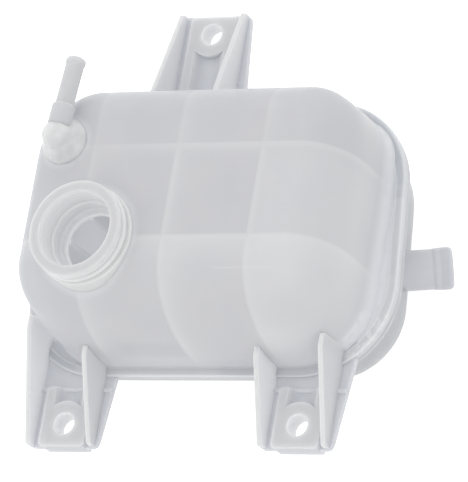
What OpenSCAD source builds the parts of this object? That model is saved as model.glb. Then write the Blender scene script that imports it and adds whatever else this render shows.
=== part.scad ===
// Coolant expansion tank: two moulded shells welded at a flange, with a threaded
// filler neck, a vent nipple, a sloping hose spigot and three gusseted brackets.
// Millimetres. Z points out of the dome, X to the hose spigot, Y to the single bracket.
// The origin is the middle of the flat back of the rear shell.

/* [View] */
// Which piece is drawn

/* [Body] */
// Height of the weld plane above the flat back
seam_z = 46; // [44:1:60]
// Height of the dome above the weld plane
dome_h = 61; // [56:1:72]
// Left side of the dome
dome_x0 = -83.5; // [-88:0.5:-80]
// Right side of the dome
dome_x1 = 87.5; // [84:0.5:90]
// Side of the dome next to the two brackets
dome_y0 = -64.5; // [-66:0.5:-60]
// Side of the dome next to the single bracket
dome_y1 = 60; // [56:0.5:62]
// Wall thickness of both shells
wall = 3; // [2:0.5:4]
// Corner radius of the dome at its foot, seen from the front
dome_corner = 34; // [32:1:42]
// Corner radius of the dome between the single bracket and the hose spigot
dome_corner_tight = 23; // [20:1:34]
// How far the foot of the dome flares out into the flange
flare = 3.5; // [1:0.5:4]
// Height of that flare
flare_h = 7; // [4:1:10]
// Depth of the rounded edge over the two brackets
edge_low = 38; // [30:1:40]
// Depth of the rounded edge at the single bracket
edge_high = 16; // [12:1:20]
// Depth of the rounded edge at the left end
edge_left = 22; // [16:1:26]
// Depth of the rounded edge at the right end
edge_right = 21; // [16:1:26]
// Width of the rounded edge of the rear shell
back_edge = 25; // [16:1:28]
// How far the rear shell stands in from the flange
back_inset = 9; // [6:0.5:10]

/* [Flange] */
// Corner radius of the flange
flange_r = 44.5; // [40:0.5:46]
// Half distance between the lower corner centres
flange_x_low = 54.8; // [54:0.5:57]
// Half distance between the upper corner centres
flange_x_high = 50.5; // [50:0.5:54]
// Height of the lower corner centres
flange_y_low = -25; // [-26:0.5:-24]
// Height of the upper corner centres
flange_y_high = 25; // [23:0.5:26]
// Thickness of each shell's flange at its rim
flange_t = 4; // [3:0.5:5]
// Thickness of the front flange inside its rim
flange_floor = 2.2; // [2:0.1:3]
// Width of the raised rim
rim_w = 4.5; // [3:0.5:6]

/* [Baffles] */
// Thickness of the inner walls
baffle_t = 2.2; // [1.5:0.1:3]
// First inner wall that runs along Y
baffle_x0 = -44; // [-46:0.5:-42]
// Spacing of the inner walls that run along Y
baffle_dx = 45.5; // [44:0.5:46]
// First inner wall that runs along X
baffle_y0 = -18.5; // [-20:0.5:-17]
// Spacing of the inner walls that run along X
baffle_dy = 46; // [44:0.5:47]
// Radius of the flow holes through the inner walls
flow_r = 6; // [4:0.5:8]

/* [Neck] */
// Filler neck axis, X
neck_x = -38.5; // [-42:0.5:-35]
// Filler neck axis, Y
neck_y = -20; // [-22:0.5:-16]
// Height of the neck mouth above the dome
neck_h = 12.5; // [11:0.5:16]
// Radius of the neck at the bottom of its thread
neck_r = 23; // [22:0.5:24]
// Radius of the mouth
mouth_r = 19; // [17:0.5:20]
// Depth of the mouth bore
mouth_depth = 12; // [8:1:14]
// Radius of the bore under the mouth
throat_r = 17.4; // [15:0.2:18]
// Radius of the hole in the seat at the bottom of the neck
seat_r = 14.6; // [12:0.2:15]
// Depth of the underside of the seat under the mouth
seat_depth = 23.5; // [21:0.5:26]
// Height of one turn of the thread
pitch = 4.4; // [4:0.2:6]
// Turns of the thread
turns = 1.6; // [1:0.1:1.8]
// How far the thread stands out
thread_d = 1.3; // [0.8:0.1:1.8]
// Height of the lip at the mouth
lip_h = 2.4; // [1.5:0.1:3]
// How far the lip stands out
lip_w = 1; // [0.5:0.1:1.5]
// Height of the foot ring round the neck
foot_h = 2; // [1:0.5:3]
// How far the foot ring stands out
foot_w = 2; // [1:0.5:3]
// Wall of the sleeve under the neck
sleeve_wall = 2.2; // [1.8:0.1:3]
// Thickness of the seat
seat_t = 2; // [1.5:0.1:3]

/* [Vent nipple] */
// Turret axis, X
turret_x = -59.5; // [-62:0.5:-57]
// Turret axis, Y
turret_y = 29; // [27:0.5:31]
// Radius of the turret
turret_r = 11.5; // [10:0.5:12.5]
// Height of the nipple axis above the dome
vent_z = 9; // [8:0.5:10]
// Downward tilt of the nipple in degrees
vent_tilt = 8; // [0:1:12]
// Outer radius of the nipple
vent_r = 4.5; // [4:0.1:5]
// Bore radius of the nipple
vent_bore = 2.6; // [2:0.1:3]
// Length from the turret axis to the nipple end
vent_len = 41.6; // [38:0.1:46]
// Length of the thicker root from the turret axis
vent_root = 15.5; // [14:0.5:20]
// How much thicker the root is than the nipple
vent_root_w = 1.1; // [0.5:0.1:1.5]
// How far the barb stands out
barb = 0.4; // [0.3:0.1:0.8]
// Length of the barb's straight part
barb_len = 2; // [1:0.1:3]
// Length of the barb's slope towards the turret
barb_slope = 1.2; // [0.5:0.1:2]
// Length of the slope at the nipple's end
barb_nose = 0.8; // [0.5:0.1:1]
// Radius of the turret's rounded cap
cap_r = 6.8; // [6.2:0.1:7.5]
// Width of the passage up the turret
turret_bore = 7; // [5:0.5:7.5]

/* [Hose spigot] */
// Where the spigot axis leaves the wall, Y
spigot_y = -5.8; // [-10:0.2:0]
// Depth of that point under the weld plane
spigot_drop = 24.5; // [22:0.5:26]
// Turn of the spigot towards Y in degrees
spigot_yaw = 14; // [0:1:20]
// Downward tilt of the spigot in degrees
spigot_tilt = 24; // [15:1:25]
// Length of the spigot outside the wall
spigot_len = 20.5; // [18:1:23]
// Outer radius of the spigot
spigot_r = 9.7; // [8:0.1:10]
// Bore radius of the spigot
spigot_bore = 7.2; // [6:0.1:8]
// How far the bead stands out
bead = 0.5; // [0.3:0.1:0.7]
// Length of the bead's straight part
bead_len = 4; // [2:0.5:5]
// Length of each of the bead's slopes
bead_slope = 2; // [1:0.5:3]
// Length of the plain part before the spigot swells towards its bead
spigot_plain = 11; // [8:0.5:12]
// How far the nose tapers in under the spigot's radius
nose_in = 1.2; // [0.5:0.1:2]

/* [Brackets] */
// Lower left bolt, X
bolt_left_x = -65.4; // [-68:0.1:-65]
// Lower right bolt, X
bolt_right_x = 60.5; // [59:0.1:62]
// Lower bolts, Y
bolt_low_y = -94.4; // [-97:0.1:-93]
// Upper bolt, X
bolt_top_x = -22; // [-25:0.1:-21]
// Upper bolt, Y
bolt_top_y = 106.8; // [104:0.1:108]
// Bolt hole radius
bolt_r = 5.5; // [4:0.1:6]
// Radius of the boss around a bolt
boss_r = 11.5; // [10:0.5:12]
// Thickness of the pad a bolt goes through
pad_t = 10.5; // [9:0.5:12]
// How far the pad stands above the plate
pad_h = 4; // [3:0.5:5]
// Radius of the trough between the boss and the tank
trough_r = 9.5; // [8:0.5:10.5]
// Half width of the pad
pad_w = 12.5; // [12:0.5:14]
// Thickness of the bracket plate
plate_t = 2.5; // [2:0.1:3]
// Distance from a bolt to the bracket tip
tip = 11; // [10:0.5:13]
// Distance from the upper bolt to the end of its pad
pad_tip_top = 9; // [8:0.5:10]
// Distance from a lower bolt to the end of its pad
pad_tip_low = 11.3; // [10:0.1:13.3]
// Corner radius of a bracket's tip
tip_r = 4; // [2:0.5:5]
// Corner radius of a pad
pad_r = 2.5; // [1:0.5:4]
// Sideways shift of a lower bracket's plate from its bolt
shift_low = -1; // [-2:0.1:1]
// Sideways shift of the upper bracket's plate from its bolt
shift_top = 0.8; // [-1:0.1:2]
// Distances from the lower left bolt to where its two gussets end at the dome
run_left = [42, 28];
// Distances from the lower right bolt to where its two gussets end at the dome
run_right = [28, 32];
// Distances from the upper bolt to where its two gussets end at the dome
run_top = [46, 46];
// Half width of a bracket at its tip
plate_w0 = 19; // [18.5:0.5:21]
// Half width of a bracket at the flange
plate_w1 = 24; // [22:0.5:26]
// Distance from a bracket's middle to the outside of a gusset
gusset_x = 18; // [17.5:0.1:18.5]
// Thickness of a gusset
gusset_t = 2.2; // [1.6:0.1:3]
// Height of a gusset at the tip
gusset_h0 = 5; // [3:0.5:7]
// Height of a gusset at the dome
gusset_h1 = 23.5; // [18:0.5:26]
// Gap between the ledge across a bracket and the flange
ledge_gap = 6.1; // [5:0.1:7]
// Thickness of that ledge
ledge_t = 1.6; // [1:0.1:2]

/* [Hidden] */
$fa = 4;
$fs = 0.5;
corner_steps = 12;
dome_steps = 17;
back_steps = 10;
// How much a corner tightens as its side leans in
tighten = 0.75;
// How deep the neck and the turret stand in the dome
root = 14;
// How far gussets run on into the dome, and how far past the flange's edge a plate stops widening
sink = 8;
// How far past the flange's edge a plate runs, so that its corners reach the flange's round corners
plate_run = 19;
// How far the rear shell's flange stands back from the front shell's
rear_inset = 0.6;
// Depth of the well under the weld plane
well_depth = 20;
// Distance of the outermost flow holes from the nearest inner wall
flow_out = 20;
// Radius of the well cut through the inner walls under the seat
well_r = seat_r - 0.6;
dome_top = seam_z + dome_h;
neck_top = dome_top + neck_h;
plate_top = seam_z + plate_t;
pad_top = plate_top + pad_h;
rim_top = seam_z + flange_t;
shell_colour = [0.86, 0.87, 0.88];
back_colour = [0.83, 0.85, 0.87];
// Angle by which the flange's sides lean in towards the single bracket
side_lean = atan((flange_x_low - flange_x_high) / (flange_y_high - flange_y_low));
// Inner wall planes
baffle_x = [for (i = [0 : 2]) baffle_x0 + i * baffle_dx];
baffle_y = [for (i = [0 : 1]) baffle_y0 + i * baffle_dy];
// Height over which each rounded edge of the dome turns
rise_low = dome_h - 4;
rise_high = edge_high + 2;
rise_left = edge_left + 3;
rise_right = edge_right + 7;

// How far a side leans in at height z, with a quarter ellipse of depth a and height h under top
function lean(z, top, a, h) =
    z <= top - h ? 0 : a * (1 - sqrt(max(0, 1 - pow((z - top + h) / h, 2))));

// How far the foot spreads at height z
function foot(z) = z >= flare_h ? 0 : flare * pow(1 - max(0, z) / flare_h, 2);

// One corner of a ring: an elliptic arc round (cx, cy), starting at angle a0
function corner(cx, cy, rx, ry, a0, sweep = 90) =
    [for (i = [0 : corner_steps])
        let (a = a0 + sweep * i / corner_steps)
        [cx + rx * cos(a), cy + ry * sin(a)]];

// Half size of a corner of radius r on a side that leans in by v
function tightened(r, v) = max(2, r - tighten * v);

// The dome's ring at height z above the weld plane, t inside its outer face
function dome_ring(z, t) =
    let (
        f = foot(z) - t,
        r = dome_corner + f,
        rt = dome_corner_tight + f,
        left = lean(z, dome_h - t, edge_left - t, rise_left - t),
        right = lean(z, dome_h - t, edge_right - t, rise_right - t),
        low = lean(z, dome_h - t, edge_low - t, rise_low - t),
        high = lean(z, dome_h - t, edge_high - t, rise_high - t),
        xa = dome_x0 - f + left, xb = dome_x1 + f - right,
        ya = dome_y0 - f + low, yb = dome_y1 + f - high,
        kl = tightened(r, left), kr = tightened(r, right),
        kw = tightened(r, low), kh = tightened(r, high),
        tr = tightened(rt, right), th = tightened(rt, high)
    )
    concat(
        corner(xa + kl, ya + kw, kl, kw, 180),
        corner(xb - kr, ya + kw, kr, kw, 270),
        corner(xb - tr, yb - th, tr, th, 0),
        corner(xa + kl, yb - kh, kl, kh, 90)
    );

// Heights of the dome's rings, closer together towards the top
function dome_levels(t, z0) =
    concat([z0, 1.5, 3], [for (i = [0 : dome_steps])
        let (a = 90 * i / dome_steps)
        dome_h - rise_low + (rise_low - t) * sin(a)]);

// The rear shell's ring at depth d under the weld plane, t inside its outer face
function back_ring(d, t) =
    let (r = flange_r - back_inset - t - lean(d, seam_z - t, back_edge - t, back_edge - t))
    concat(
        corner(-flange_x_low, flange_y_low, r, r, 180 - side_lean, 90 + side_lean),
        corner(flange_x_low, flange_y_low, r, r, 270, 90 + side_lean),
        corner(flange_x_high, flange_y_high, r, r, side_lean, 90 - side_lean),
        corner(-flange_x_high, flange_y_high, r, r, 90, 90 - side_lean)
    );

// Depths of the rear shell's rings
function back_levels(t, d0) =
    concat([d0], [for (i = [0 : back_steps])
        seam_z - back_edge + (back_edge - t) * sin(90 * i / back_steps)]);

// A closed solid through equal rings, with a flat face at each end
module loft(rings, zs) {
    n = len(rings[0]);
    m = len(rings);
    points = [for (j = [0 : m - 1]) for (p = rings[j]) [p[0], p[1], zs[j]]];
    sides = [for (j = [0 : m - 2]) for (i = [0 : n - 1])
        let (a = j * n + i, b = j * n + (i + 1) % n)
        [[a, b + n, b], [a, a + n, b + n]]];
    faces = concat(
        [for (q = sides) q[0]],
        [for (q = sides) q[1]],
        [[for (i = [0 : n - 1]) i]],
        [[for (i = [n - 1 : -1 : 0]) (m - 1) * n + i]]
    );
    polyhedron(points = points, faces = faces, convexity = 6);
}

module dome_solid(t, z0) {
    zs = dome_levels(t, z0);
    loft([for (z = zs) dome_ring(z, t)], [for (z = zs) seam_z + z]);
}

module back_solid(t, d0) {
    ds = back_levels(t, d0);
    m = len(ds);
    loft([for (j = [m - 1 : -1 : 0]) back_ring(ds[j], t)], [for (j = [m - 1 : -1 : 0]) seam_z - ds[j]]);
}

// The flange outline, w inside its edge: four arcs and the tangents between them
module flange_outline(w) {
    r = flange_r - w;
    nx = r * cos(side_lean);
    ny = r * sin(side_lean);
    polygon([
        [-flange_x_low, flange_y_low - r],
        [flange_x_low, flange_y_low - r],
        [flange_x_low + nx, flange_y_low + ny],
        [flange_x_high + nx, flange_y_high + ny],
        [flange_x_high, flange_y_high + r],
        [-flange_x_high, flange_y_high + r],
        [-flange_x_high - nx, flange_y_high + ny],
        [-flange_x_low - nx, flange_y_low + ny]
    ]);
    for (s = [-1, 1]) {
        translate([s * flange_x_low, flange_y_low])
            circle(r);
        translate([s * flange_x_high, flange_y_high])
            circle(r);
    }
}

// The inner walls as slabs from z to z + h
module baffles(z, h) {
    for (x = baffle_x)
        translate([x - baffle_t / 2, -100, z])
            cube([baffle_t, 200, h]);
    for (y = baffle_y)
        translate([-110, y - baffle_t / 2, z])
            cube([220, baffle_t, h]);
}

// Flow holes through the inner walls, on the middle of each cell's wall
module flow_holes(z) {
    x_in = [for (i = [0 : 1]) baffle_x[i] + baffle_dx / 2];
    x_mid = concat([baffle_x[0] - flow_out], x_in, [baffle_x[2] + flow_out]);
    y_mid = [baffle_y[0] - flow_out, baffle_y[0] + baffle_dy / 2, baffle_y[1] + 0.7 * flow_out];
    for (y = y_mid)
        translate([baffle_x[0] - 6, y, z])
            rotate([0, 90, 0])
                cylinder(r = flow_r, h = 2 * baffle_dx + 12);
    for (x = x_mid)
        translate([x, baffle_y[0] - 6, z])
            rotate([-90, 0, 0])
                cylinder(r = flow_r, h = baffle_dy + 12);
}

// A thread ridge wound round the neck
module thread(r, z) {
    per_turn = 40;
    n = round(turns * per_turn);
    // Ridge section: radius and height of its four corners, faded in and out at the ends
    function fade(i) = min(1, min(i, n - i) / 5);
    points = [for (i = [0 : n])
        let (
            a = 360 * i / per_turn,
            c = z + pitch * i / per_turn,
            d = thread_d * fade(i) - 0.2 * (1 - fade(i))
        )
        for (q = [[r - 0.8, -1.3], [r + d, -0.5], [r + d, 0.5], [r - 0.8, 1.3]])
            [q[0] * cos(a), q[0] * sin(a), c + q[1]]];
    faces = concat(
        [for (i = [0 : n - 1]) for (k = [0 : 3])
            let (a = 4 * i + k, b = 4 * i + (k + 1) % 4)
            [a, b, b + 4]],
        [for (i = [0 : n - 1]) for (k = [0 : 3])
            let (a = 4 * i + k, b = 4 * i + (k + 1) % 4)
            [a, b + 4, a + 4]],
        [[3, 2, 1, 0]],
        [[4 * n, 4 * n + 1, 4 * n + 2, 4 * n + 3]]
    );
    polyhedron(points = points, faces = faces, convexity = 4);
}

// Outside of the filler neck, standing in the dome
module neck_outside() {
    translate([neck_x, neck_y, 0]) {
        translate([0, 0, dome_top - root])
            cylinder(r = neck_r, h = neck_h + root);
        translate([0, 0, dome_top - root])
            cylinder(r = neck_r + foot_w, h = root + foot_h);
        translate([0, 0, neck_top - lip_h])
            cylinder(r = neck_r + lip_w, h = lip_h);
        thread(neck_r, dome_top + foot_h + thread_d);
    }
}

// The neck's stepped bore
module neck_bore() {
    translate([neck_x, neck_y, 0]) {
        translate([0, 0, neck_top - mouth_depth])
            cylinder(r = mouth_r, h = mouth_depth + 1);
        translate([0, 0, neck_top - seat_depth + seat_t])
            cylinder(r = throat_r, h = seat_depth - mouth_depth);
        translate([0, 0, neck_top - seat_depth - 1])
            cylinder(r = seat_r, h = 6);
    }
}

// The sleeve of the neck inside the dome
module neck_sleeve() {
    translate([neck_x, neck_y, neck_top - seat_depth])
        difference() {
            cylinder(r = throat_r + sleeve_wall, h = seat_depth - neck_h - wall + 1);
            translate([0, 0, seat_t])
                cylinder(r = throat_r, h = seat_depth);
            translate([0, 0, -1])
                cylinder(r = seat_r, h = 5);
        }
}

module along_vent() {
    translate([turret_x, turret_y, dome_top + vent_z])
        rotate([-90 - vent_tilt, 0, 0])
            children();
}

module vent_outside() {
    barb_end = vent_len - barb_nose;
    translate([turret_x, turret_y, dome_top]) {
        translate([0, 0, -root / 2])
            cylinder(r = turret_r, h = root / 2 + 2);
        translate([0, 0, 2])
            cylinder(r1 = turret_r, r2 = cap_r, h = vent_z - 1);
        translate([0, 0, vent_z])
            sphere(cap_r + 0.1);
    }
    along_vent() {
        cylinder(r = vent_r + vent_root_w, h = vent_root);
        cylinder(r = vent_r, h = barb_end - barb_len);
        translate([0, 0, barb_end - barb_len - barb_slope])
            cylinder(r1 = vent_r, r2 = vent_r + barb, h = barb_slope);
        translate([0, 0, barb_end - barb_len])
            cylinder(r = vent_r + barb, h = barb_len);
        translate([0, 0, barb_end])
            cylinder(r1 = vent_r + barb, r2 = vent_r - barb, h = barb_nose);
    }
}

module vent_bores() {
    translate([turret_x, turret_y, dome_top - root])
        cylinder(r = turret_bore / 2, h = root + vent_z);
    along_vent()
        cylinder(r = vent_bore, h = vent_len + 1);
}

// One gusset: a wall from the tip to the dome, y_wall from the bolt, h high there
module gusset(x, y_wall, h) {
    translate([x - gusset_t / 2, 0, plate_top])
        rotate([90, 0, 90])
            linear_extrude(gusset_t)
                polygon([
                    [-tip + 0.5, -0.5],
                    [-tip + 0.5, gusset_h0 - 1],
                    [-tip + 1.5, gusset_h0],
                    [y_wall, h],
                    [y_wall + sink, h],
                    [y_wall + sink, -0.5]
                ]);
}

// A bracket's pad, seen from above: its end at the tip has rounded corners
module pad_outline(pad_tip, reach) {
    translate([-pad_w, pad_r - pad_tip])
        square([2 * pad_w, pad_tip - pad_r + reach - ledge_gap]);
    translate([pad_r - pad_w, -pad_tip])
        square([2 * (pad_w - pad_r), 2 * pad_r]);
    for (s = [-1, 1])
        translate([s * (pad_w - pad_r), pad_r - pad_tip])
            circle(pad_r);
}

// A bracket with its bolt on the Z axis and the tank towards Y; its plate is centred at x = off,
// and its gussets run as far as run says
module bracket(reach, pad_tip, run, off) {
    gx = gusset_x - gusset_t / 2;
    translate([off, 0, seam_z])
        linear_extrude(plate_t) {
            polygon([
                [-plate_w0, tip_r - tip],
                [-plate_w0 + tip_r, -tip],
                [plate_w0 - tip_r, -tip],
                [plate_w0, tip_r - tip],
                [plate_w1, reach + sink],
                [plate_w1, reach + plate_run],
                [-plate_w1, reach + plate_run],
                [-plate_w1, reach + sink]
            ]);
            for (s = [-1, 1])
                translate([s * (plate_w0 - tip_r), tip_r - tip])
                    circle(tip_r);
        }
    // Pad: a raised block with a trough towards the tank
    difference() {
        translate([0, 0, seam_z])
            linear_extrude(pad_top - seam_z)
                pad_outline(pad_tip, reach);
        translate([0, 4, pad_top + trough_r - pad_h])
            rotate([-90, 0, 0])
                cylinder(r = trough_r, h = reach + 10);
    }
    translate([0, 0, pad_top - pad_t])
        linear_extrude(pad_t)
            intersection() {
                pad_outline(pad_tip, reach);
                union() {
                    circle(boss_r);
                    translate([-boss_r, -pad_tip])
                        square([2 * boss_r, pad_tip]);
                }
            }
    // Ledge across the plate
    translate([off - plate_w1 + 1, reach - ledge_gap - ledge_t, plate_top - 0.5])
        cube([2 * plate_w1 - 2, ledge_t, 2]);
    gusset(off - gx, run[0], gusset_h1 - 1);
    gusset(off + gx, run[1], gusset_h1);
}

module at_brackets() {
    translate([bolt_left_x, bolt_low_y, 0])
        children(0);
    translate([bolt_right_x, bolt_low_y, 0])
        children(1);
    translate([bolt_top_x, bolt_top_y, 0])
        rotate([0, 0, 180])
            children(2);
}

module bolt_bore() {
    translate([0, 0, pad_top - pad_t - 1])
        cylinder(r = bolt_r, h = pad_t + 2);
}

module front_flange() {
    translate([0, 0, seam_z])
        linear_extrude(flange_floor)
            flange_outline(0);
    translate([0, 0, seam_z])
        difference() {
            linear_extrude(flange_t)
                flange_outline(0);
            translate([0, 0, -1])
                linear_extrude(flange_t + 2)
                    flange_outline(rim_w);
        }
}

module upper_shell() {
    reach_low = flange_y_low - flange_r - bolt_low_y;
    reach_top = bolt_top_y - flange_y_high - flange_r;
    color(shell_colour) {
        difference() {
            union() {
                dome_solid(0, 0);
                front_flange();
                neck_outside();
                vent_outside();
                at_brackets() {
                    bracket(reach_low, pad_tip_low, run_left, shift_low);
                    bracket(reach_low, pad_tip_low, run_right, shift_low);
                    bracket(reach_top, pad_tip_top, run_top, shift_top);
                }
            }
            difference() {
                dome_solid(wall, -1);
                baffles(seam_z - 2, dome_h + 4);
            }
            flow_holes(dome_top - wall - 2 * flow_r);
            translate([neck_x, neck_y, seam_z - 1])
                cylinder(r = well_r, h = neck_top - seat_depth - seam_z + 1);
            neck_bore();
            vent_bores();
            at_brackets() {
                bolt_bore();
                bolt_bore();
                bolt_bore();
            }
        }
        neck_sleeve();
    }
}

module along_spigot() {
    translate([flange_x_low + flange_r - back_inset, spigot_y, seam_z - spigot_drop])
        rotate([0, 0, spigot_yaw])
            rotate([0, 90 + spigot_tilt, 0])
                children();
}

module spigot_outside() {
    bead_end = spigot_len - bead_slope;
    along_spigot() {
        translate([0, 0, -6])
            cylinder(r = spigot_r, h = bead_end - bead_len + 6);
        translate([0, 0, spigot_plain])
            cylinder(r = spigot_r + bead / 2, h = bead_end - bead_len - spigot_plain);
        translate([0, 0, bead_end - bead_len - bead_slope])
            cylinder(r1 = spigot_r, r2 = spigot_r + bead, h = bead_slope);
        translate([0, 0, bead_end - bead_len])
            cylinder(r = spigot_r + bead, h = bead_len);
        translate([0, 0, bead_end])
            cylinder(r1 = spigot_r + bead, r2 = spigot_r - nose_in, h = bead_slope);
    }
}

module lower_shell() {
    color(back_colour)
        difference() {
            union() {
                back_solid(0, 0);
                translate([0, 0, seam_z - flange_t])
                    linear_extrude(flange_t)
                        flange_outline(rear_inset);
                spigot_outside();
            }
            difference() {
                back_solid(wall, -1);
                baffles(-2, seam_z + 4);
            }
            flow_holes(wall + 2 * flow_r);
            translate([neck_x, neck_y, seam_z - well_depth])
                cylinder(r = well_r, h = well_depth + 1);
            along_spigot()
                translate([0, 0, -12])
                    cylinder(r = spigot_bore, h = spigot_len + 13);
        }
}

upper_shell();
lower_shell();
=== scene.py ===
"""Looks of a coolant expansion tank: two welded shells of natural milky polypropylene on a white ground.

Every length in the form classes is in millimetres in the part's frame, and MM turns it into metres.
"""

import logging
import math
from collections.abc import Callable, Sequence
from dataclasses import dataclass, replace
from enum import Enum

import bmesh
import bpy
import numpy as np
from mathutils import Matrix, Vector


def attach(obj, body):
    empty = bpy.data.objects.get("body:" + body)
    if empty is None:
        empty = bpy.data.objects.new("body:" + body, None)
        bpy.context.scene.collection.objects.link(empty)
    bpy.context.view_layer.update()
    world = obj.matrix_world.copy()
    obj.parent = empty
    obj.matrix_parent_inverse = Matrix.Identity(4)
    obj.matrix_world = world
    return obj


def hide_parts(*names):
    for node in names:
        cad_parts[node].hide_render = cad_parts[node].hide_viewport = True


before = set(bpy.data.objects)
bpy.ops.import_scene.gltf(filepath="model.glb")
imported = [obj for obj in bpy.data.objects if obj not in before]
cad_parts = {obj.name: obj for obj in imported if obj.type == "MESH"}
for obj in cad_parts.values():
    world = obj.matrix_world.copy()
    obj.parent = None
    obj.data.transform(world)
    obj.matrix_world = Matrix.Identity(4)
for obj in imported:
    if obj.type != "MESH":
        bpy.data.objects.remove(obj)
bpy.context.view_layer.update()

log = logging.getLogger("tank")
MM = 0.001
ROOT_BODY = "root"
HALVINGS = 34
SAME_POINT = 2e-7
CORNER_SHARE = 0.45
BEVEL_ANGLE = 40.0
SHARP_ANGLE = 50.0
TURNED_COLUMNS = 96
CIRCLE_POINTS = 72
# Places of the factor and of the two colours among a Mix node's inputs, and of the colour among its outputs.
MIX_INPUTS = (0, 6, 7)
MIX_OUTPUT = 2


class Slot(Enum):
    """The record's material slots."""

    FRONT = "front_moulding"
    REAR = "rear_moulding"


class Cut(Enum):
    """How one solid is combined with another."""

    JOIN = "UNION"
    TAKE_AWAY = "DIFFERENCE"


class Along(Enum):
    """The axis that an outline is drawn out along: the places of its two coordinates and of the length."""

    X = (1, 2, 0)
    Y = (0, 2, 1)
    Z = (0, 1, 2)


def left_at(inside: Callable[[np.ndarray], np.ndarray], low: np.ndarray, high: np.ndarray) -> np.ndarray:
    """Finds by halving where values that grow from low to high leave a shape.

    Args:
        inside: tells which values are still inside.
        low: values that are inside.
        high: values that are outside.

    Returns:
        The last values inside and the first ones outside, stacked.
    """
    for _ in range(HALVINGS):
        middle = (low + high) / 2
        hit = inside(middle)
        low, high = np.where(hit, middle, low), np.where(hit, high, middle)
    return np.stack([low, high])


@dataclass(frozen=True)
class TankForm:
    """Driving sizes of the two shells, as in the part's source.

    An edge value is how far that side of the dome has leaned in at the top, and a climb value is how far
    under the top it starts to lean.
    """

    seam_z: float = 46.0
    dome_h: float = 61.0
    dome_x: tuple[float, float] = (-83.5, 87.5)
    dome_y: tuple[float, float] = (-64.5, 60.0)
    wall: float = 3.0
    corner: float = 34.0
    corner_tight: float = 23.0
    flare: float = 3.5
    flare_h: float = 7.0
    edge_low: float = 38.0
    edge_high: float = 16.0
    edge_left: float = 22.0
    edge_right: float = 21.0
    climb_low: float = 57.0
    climb_high: float = 18.0
    climb_left: float = 25.0
    climb_right: float = 28.0
    tighten: float = 0.75
    least_corner: float = 2.0
    back_edge: float = 25.0
    back_inset: float = 9.0
    flange_r: float = 44.5
    flange_x_low: float = 54.8
    flange_x_high: float = 50.5
    flange_y: tuple[float, float] = (-25.0, 25.0)
    flange_t: float = 4.0
    flange_floor: float = 2.2
    rim_w: float = 4.5
    rear_inset: float = 0.6
    baffle_t: float = 2.2
    baffle_x: tuple[float, ...] = (-44.0, 1.5, 47.0)
    baffle_y: tuple[float, ...] = (-18.5, 27.5)
    seen_shift: tuple[float, float] = (1.2, -1.4)
    turret: tuple[float, float] = (-59.5, 29.0)
    neck: tuple[float, float] = (-38.5, -20.0)
    well_r: float = 14.0
    well_floor: float = 26.0
    sleeve_r: float = 18.6
    seat_z: float = 96.6

    @property
    def dome_top(self) -> float:
        """Height of the dome's top."""
        return self.seam_z + self.dome_h

    def lean(self, z: np.ndarray, top: float, depth: float, height: float) -> np.ndarray:
        """How far a side leans in at height z.

        Formula: a quarter ellipse under the top, depth * (1 - sqrt(1 - s^2)), where s is the share of the
        ellipse's height that z has climbed.

        Args:
            z: heights above the weld plane.
            top: height at which the ellipse ends.
            depth: how far the side has leaned in at the top.
            height: how far under the top the ellipse starts.

        Returns:
            The lean at each height.
        """
        climbed = np.clip((z - top + height) / height, 0.0, 1.0)
        return depth * (1.0 - np.sqrt(1.0 - climbed**2))

    def in_dome(self, x: np.ndarray, y: np.ndarray, z: np.ndarray, t: float) -> np.ndarray:
        """Tells which points lie inside the dome's ring at height z, t inside its outer face.

        Formula: the ring is a rectangle with four elliptic corners. A point is inside if, measured from its
        corner's centre in units of that corner's two radii, it lies within 1 on both axes, and within the
        unit circle where it is past the centre on both.

        Args:
            x: places along X.
            y: places along Y.
            z: heights above the weld plane.
            t: distance inside the outer face.

        Returns:
            A boolean array.
        """
        spread = self.flare * np.clip(1.0 - z / self.flare_h, 0.0, 1.0) ** 2 - t
        top = self.dome_h - t
        left = self.lean(z, top, self.edge_left - t, self.climb_left - t)
        right = self.lean(z, top, self.edge_right - t, self.climb_right - t)
        low = self.lean(z, top, self.edge_low - t, self.climb_low - t)
        high = self.lean(z, top, self.edge_high - t, self.climb_high - t)
        x0, x1 = self.dome_x[0] - spread + left, self.dome_x[1] + spread - right
        y0, y1 = self.dome_y[0] - spread + low, self.dome_y[1] + spread - high
        east, north = x > (x0 + x1) / 2, y > (y0 + y1) / 2
        radius = np.where(east & north, self.corner_tight, self.corner) + spread
        rx = np.maximum(self.least_corner, radius - self.tighten * np.where(east, right, left))
        ry = np.maximum(self.least_corner, radius - self.tighten * np.where(north, high, low))
        dx = np.where(east, x - x1 + rx, x0 + rx - x) / rx
        dy = np.where(north, y - y1 + ry, y0 + ry - y) / ry
        past_both = (dx > 0) & (dy > 0)
        return np.where(past_both, dx**2 + dy**2 < 1.0, np.maximum(dx, dy) < 1.0)

    def in_flange(self, x: np.ndarray, y: np.ndarray, radius: float | np.ndarray) -> np.ndarray:
        """Tells which points lie inside the outline drawn round the four corner centres.

        Formula: the outline is the set of points within radius of the four-sided figure of the centres, so
        a point is inside if it is in that figure or within radius of one of its sides.

        Args:
            x: places along X.
            y: places along Y.
            radius: corner radius of the outline.

        Returns:
            A boolean array.
        """
        y0, y1 = self.flange_y
        corners = [(-self.flange_x_low, y0), (self.flange_x_low, y0),
                   (self.flange_x_high, y1), (-self.flange_x_high, y1)]
        within = np.ones(np.broadcast(x, y).shape, bool)
        near = np.zeros_like(within)
        for (ax, ay), (bx, by) in zip(corners, corners[1:] + corners[:1]):
            ux, uy = bx - ax, by - ay
            across = (x - ax) * uy - (y - ay) * ux
            share = np.clip(((x - ax) * ux + (y - ay) * uy) / (ux**2 + uy**2), 0.0, 1.0)
            near |= np.hypot(x - ax - share * ux, y - ay - share * uy) < radius
            within &= across <= 0
        return within | near

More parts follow.
